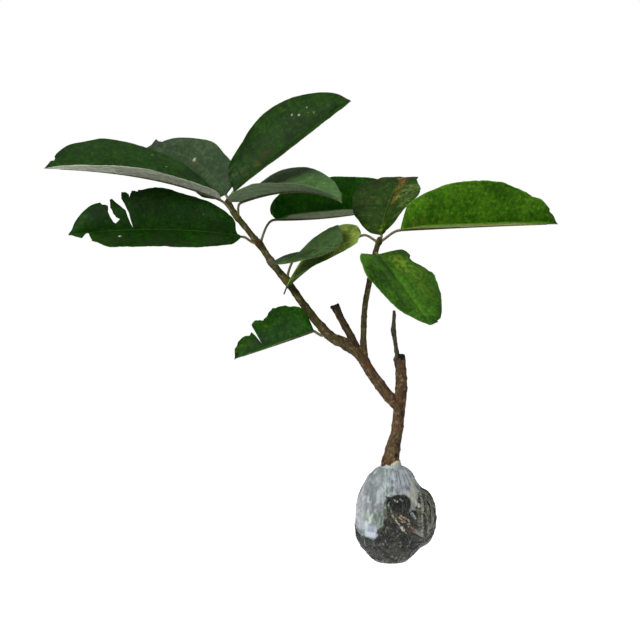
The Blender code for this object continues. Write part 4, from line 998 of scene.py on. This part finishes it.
def ball_object():
    """The wrapped ball, crumpled and painted, with its grid of points, its heights and the film's share."""
    z = np.concatenate([[0.0, 0.25, 0.6], np.linspace(1.1, BALL_TOP, ROWS - 3)])
    angle = np.linspace(0, 2 * np.pi, TURNS, endpoint=False)
    zz, aa = (g.ravel() for g in np.meshgrid(z, angle, indexing="ij"))
    reach = ball_reach(np.clip(zz, 0.2, BALL_H), aa) - 1.6 * clamp(1 - zz / 5.0) ** 2
    out = np.c_[np.cos(aa), np.sin(aa), aa * 0]
    p = out * reach[:, None] + np.c_[ball_ring(zz)[0], zz * 0, zz]

    front = p[:, 1] < 0
    warp = np.c_[tangle(p / 7.0, 51), tangle(p / 7.0, 57)]
    flat = np.c_[np.where(front, p[:, 0], -p[:, 0] * 0.95 + 3.0),
                 np.where(front, p[:, 2], p[:, 2] + 3.0 * np.sin(p[:, 0] / 11.0))]
    flat = flat + warp * np.where(front, 1.3, 3.4)[:, None]
    to_edge = signed_gap(MILK, flat)
    milk = clamp(0.5 + to_edge / (2 * MILK_SOFT))
    milk = milk * milk * (3 - 2 * milk)

    high = clamp(zz / BALL_H)
    fade = clamp(zz / 5.0) * np.clip((BALL_H - zz) / 3.0, 0.25, 1)
    crumple = -np.abs(tangle(p / (9.0, 9.0, 13.0), 61))
    dent = -np.abs(tangle(p / (4.0, 4.0, 5.0), 67, 2))
    tuck = -np.abs(tangle(np.c_[out[:, :2] * 5.5, zz / 30], 71, 2))
    strand = tangle(p / (2.6, 2.6, 6.5) + warp[:, :1] * 1.2, 73, 4)
    strand_b = tangle((p + p[:, [2, 0, 1]] * 0.8) / (1.7, 1.7, 4.5), 79, 2)
    relief = (CRUMPLE * crumple + DENT * dent + (TUCK[0] + TUCK[1] * high ** 3) * tuck + MILK_RISE * milk
              + (1 - 0.8 * milk) * (STRAND[0] * strand + STRAND[1] * strand_b)) + LIFT
    p = p + out * (relief * fade)[:, None]

    dark, mid, pale, dim, bright, edge = (np.array(srgb(c)) for c in (
        FIBRE_DARK, FIBRE_MID, FIBRE_PALE, FILM_DIM, FILM_BRIGHT, FILM_EDGE))
    level = clamp(0.3 + 1.1 * strand + 0.6 * strand_b)[:, None]
    tint = laid(laid(dark, mid, level), pale, np.clip((level - 0.78) * 3.4, 0, 0.8))
    veil = clamp(0.55 + 1.1 * crumple + 0.75 * tangle(p / (4.6, 4.6, 26), 83))[:, None]
    tint = laid(tint, laid(dim, bright, veil), milk[:, None])
    # the strokes hold the wrap's own colours, with painted shade, a painted highlight and painted glints
    # among them
    for x0, z0, x1, z1, width, colour, strength in WRAP_MARKS:
        away = line_gap(flat, np.array((x0, z0)), np.array((x1, z1))) / width
        cover = strength * clamp((1.15 - away) / (0.8 if width > 4 else 0.5))
        if width > 3:
            cover = cover * clamp(0.72 + 0.5 * strand)
        tint = laid(tint, np.array(srgb(colour)), cover[:, None])
    tint = laid(tint, edge, np.exp(-(to_edge / 0.8) ** 2)[:, None] * 0.35)

    obj = mesh_from("wrapped_ball", p, capped_faces(ROWS, TURNS))
    write(obj.data, tint=tint, milk=milk)
    return obj, p.reshape(ROWS, TURNS, 3), z, milk.reshape(ROWS, TURNS)


def wrap_skin():
    sh = Shader("wrapped_fibre")
    place = sh.attribute("position", "Vector")
    fine = sh.noise(place, 900.0, 4.0, 0.65)
    drawn = [sh.mul(c, by) for c, by in zip(sh.split(place), DRAWN_OUT)]
    streak = sh.noise(sh.node("CombineXYZ", dict(enumerate(drawn)))[0], 1.0, 4.0)
    bare = sh.sub(0.35, sh.mul(sh.attribute("milk"), 0.25))
    colour = sh.layers(sh.attribute("tint", "Color"), (sh.ramp(streak, 0.35, 0.65, 0.22, 0.0), (40, 44, 44)),
                       (sh.mul(sh.ramp(fine, 0.55, 0.75), bare), (18, 18, 14)))
    height = sh.add(sh.mul(streak, 0.7), sh.mul(fine, 0.3))
    return sh.skin(colour, 0.5, 0.2, (height, 0.5, 0.0006), (0.3, 0.14))


def strands_object(grid, z_rows, milk):
    """Roots and fibres lying on the dark parts of the ball, joined in one mesh."""
    rng = random.Random(77)
    shells, tone = [], []
    tries = 0
    while len(shells) < STRANDS and tries < STRANDS * 12:
        tries += 1
        row, turn = rng.uniform(8, ROWS - 50), rng.uniform(0, TURNS)
        if milk[int(row), int(turn)] > 0.25:
            continue
        bulging = grid[int(row), int(turn), 0] > 22
        slope = rng.gauss(math.pi / 2, 0.2) if bulging or rng.random() < 0.3 else rng.uniform(0, 2 * math.pi)
        bend = rng.gauss(0, 0.03 if bulging else 0.07)
        size = rng.uniform(0.22, 0.6)
        path = []
        for _ in range(rng.randint(7, 15)):
            k, j = int(row), int(turn) % TURNS
            if not 4 < k < ROWS - 20 or milk[k, j] > 0.55:
                break
            centre = np.array((ball_ring(np.array([z_rows[k]]))[0][0], 0, z_rows[k]))
            q = grid[k, j]
            path.append(q + unit(q - centre) * size * 0.5)
            row += math.sin(slope) * 2.0
            turn += math.cos(slope) * 2.0
            slope += bend + rng.gauss(0, 0.07)
        if len(path) < 4:
            continue
        path = np.array(path)
        path[1:-1] = (path[:-2] + path[1:-1] * 2 + path[2:]) / 4
        taper = np.sin(np.linspace(0.25, math.pi - 0.25, len(path))) ** 0.5
        shells.append(tube_shell(path, size * taper, 6))
        tone.append(np.full(len(shells[-1][0]), rng.random() * 0.7 + 0.4 * bulging))
    obj = mesh_from("ball_fibres", *gathered(shells))
    write(obj.data, tone=np.concatenate(tone))
    return obj


def strand_skin():
    sh = Shader("wet_fibre")
    tone = sh.attribute("tone")
    colour = sh.layers((13, 14, 10), (sh.ramp(tone, 0.2, 0.8), (64, 66, 55)),
                       (sh.ramp(tone, 0.74, 0.92), (116, 118, 100)))
    return sh.skin(colour, 0.45, 0.35, coat=(0.4, 0.2))


def rim_object():
    """The gathered mouth of the film round the trunk: a pleated lip that climbs to the right."""
    angle = np.linspace(0, 2 * np.pi, RIM_TURNS, endpoint=False)
    cos, sin = turned(RIM_TURNS)
    pleat = -np.abs(tangle(np.c_[cos * 5, sin * 5, cos * 0], 91, 2))
    verts = []
    for rise, r, depth in RIM_ROWS:
        x, y = (r + depth * 2.2 * pleat) * (cos, sin)
        top = clamp((rise + 1) / 6)
        lip = 1.6 * np.exp(-((angle - 5.35) / 0.35) ** 2) * top
        verts.append(np.c_[RIM_X + x, y, BALL_H + rise + top * (RIM_SLANT * x + 1.3 * pleat + lip)])
    return mesh_from("film_mouth", np.concatenate(verts), ring_faces(len(RIM_ROWS), RIM_TURNS))


def rim_skin():
    sh = Shader("gathered_film")
    place = sh.attribute("position", "Vector")
    spot = sh.noise(place, 380.0)
    colour = sh.blend(sh.ramp(spot, 0.4, 0.66), (214, 202, 172), (176, 180, 168))
    colour = sh.blend(sh.ramp(sh.split(place)[2], 0.1075, 0.1115), (168, 178, 178), colour)
    return sh.skin(colour, 0.45, 0.4, (spot, 0.4, 0.0006), (0.4, 0.2))


ball, ball_grid, ball_rows, ball_milk = ball_object()
ball.data.materials.append(wrap_skin())
fibres = strands_object(ball_grid, ball_rows, ball_milk)
fibres.data.materials.append(strand_skin())
rim = rim_object()
rim.data.materials.append(rim_skin())
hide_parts("root_ball")
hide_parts("root_ball")
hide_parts("film_collar")
for piece in (ball, fibres, rim):
    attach(piece, BODY)


# ---------------------------------------------------------------- floor, light and camera
FLOOR_R, FLOOR_TURNS = 500.0, 64
FLOOR_GLOW, SKY_LOW, SKY_HIGH = 1.35, 0.16, 0.34
LIGHTS = [  # name, place, aimed at, width, height, watts
    ("key", (-0.95, -1.15, 1.35), (-0.08, 0.0, 0.28), 0.8, 0.8, 27.0),
    ("overhead", (-0.1, 0.1, 1.5), (-0.1, 0.0, 0.3), 1.3, 1.1, 5.5),
    ("side", (1.5, -0.6, 0.9), (0.0, 0.0, 0.3), 0.7, 0.9, 1.2),
]
CAMERA_AT, CAMERA_TILT, LENS, SENSOR = (-0.08162, -1.98509, 0.51353), 83.0, 102.27, 36.0

scene = bpy.context.scene
cos, sin = turned(FLOOR_TURNS)
floor = mesh_from("floor", FLOOR_R * np.c_[cos, sin, cos * 0], [range(FLOOR_TURNS)], smooth=False)
white = Shader("white_floor")
white.node("OutputMaterial", {0: white.node("Emission", {"Strength": FLOOR_GLOW})[0]})
floor.data.materials.append(white.mat)
floor.location.z = -0.0002

for name, place, aim, width, depth, watts in LIGHTS:
    lamp = bpy.data.lights.new(name, "AREA")
    lamp.shape = "RECTANGLE"
    lamp.size, lamp.size_y, lamp.energy = width, depth, watts
    obj = shown(name, lamp)
    obj.location = place
    obj.rotation_euler = (Vector(aim) - Vector(place)).to_track_quat("-Z", "Y").to_euler()

world = bpy.data.worlds.new("white_room")
world.use_nodes = True
scene.world = world
tree = world.node_tree
tree.nodes.clear()
height = node(tree, "SeparateXYZ", {0: node(tree, "TexCoord", {})["Generated"]})[2]
sky = smooth_ramp(tree, height, -0.1, 0.9, SKY_LOW, SKY_HIGH)
seen = node(tree, "LightPath", {})["Is Camera Ray"]
level = node(tree, "Mix", {0: seen, 2: sky, 3: 1.0}, data_type="FLOAT")[0]
back = node(tree, "Background", {"Color": (255, 255, 255), "Strength": level})[0]
node(tree, "OutputWorld", {0: back})
scene.view_settings.view_transform = "Standard"

camera = bpy.data.cameras.new("camera")
camera.lens, camera.sensor_width = LENS, SENSOR
scene.camera = shown("camera", camera)
scene.camera.location = CAMERA_AT
scene.camera.rotation_euler = (math.radians(CAMERA_TILT), 0, 0)
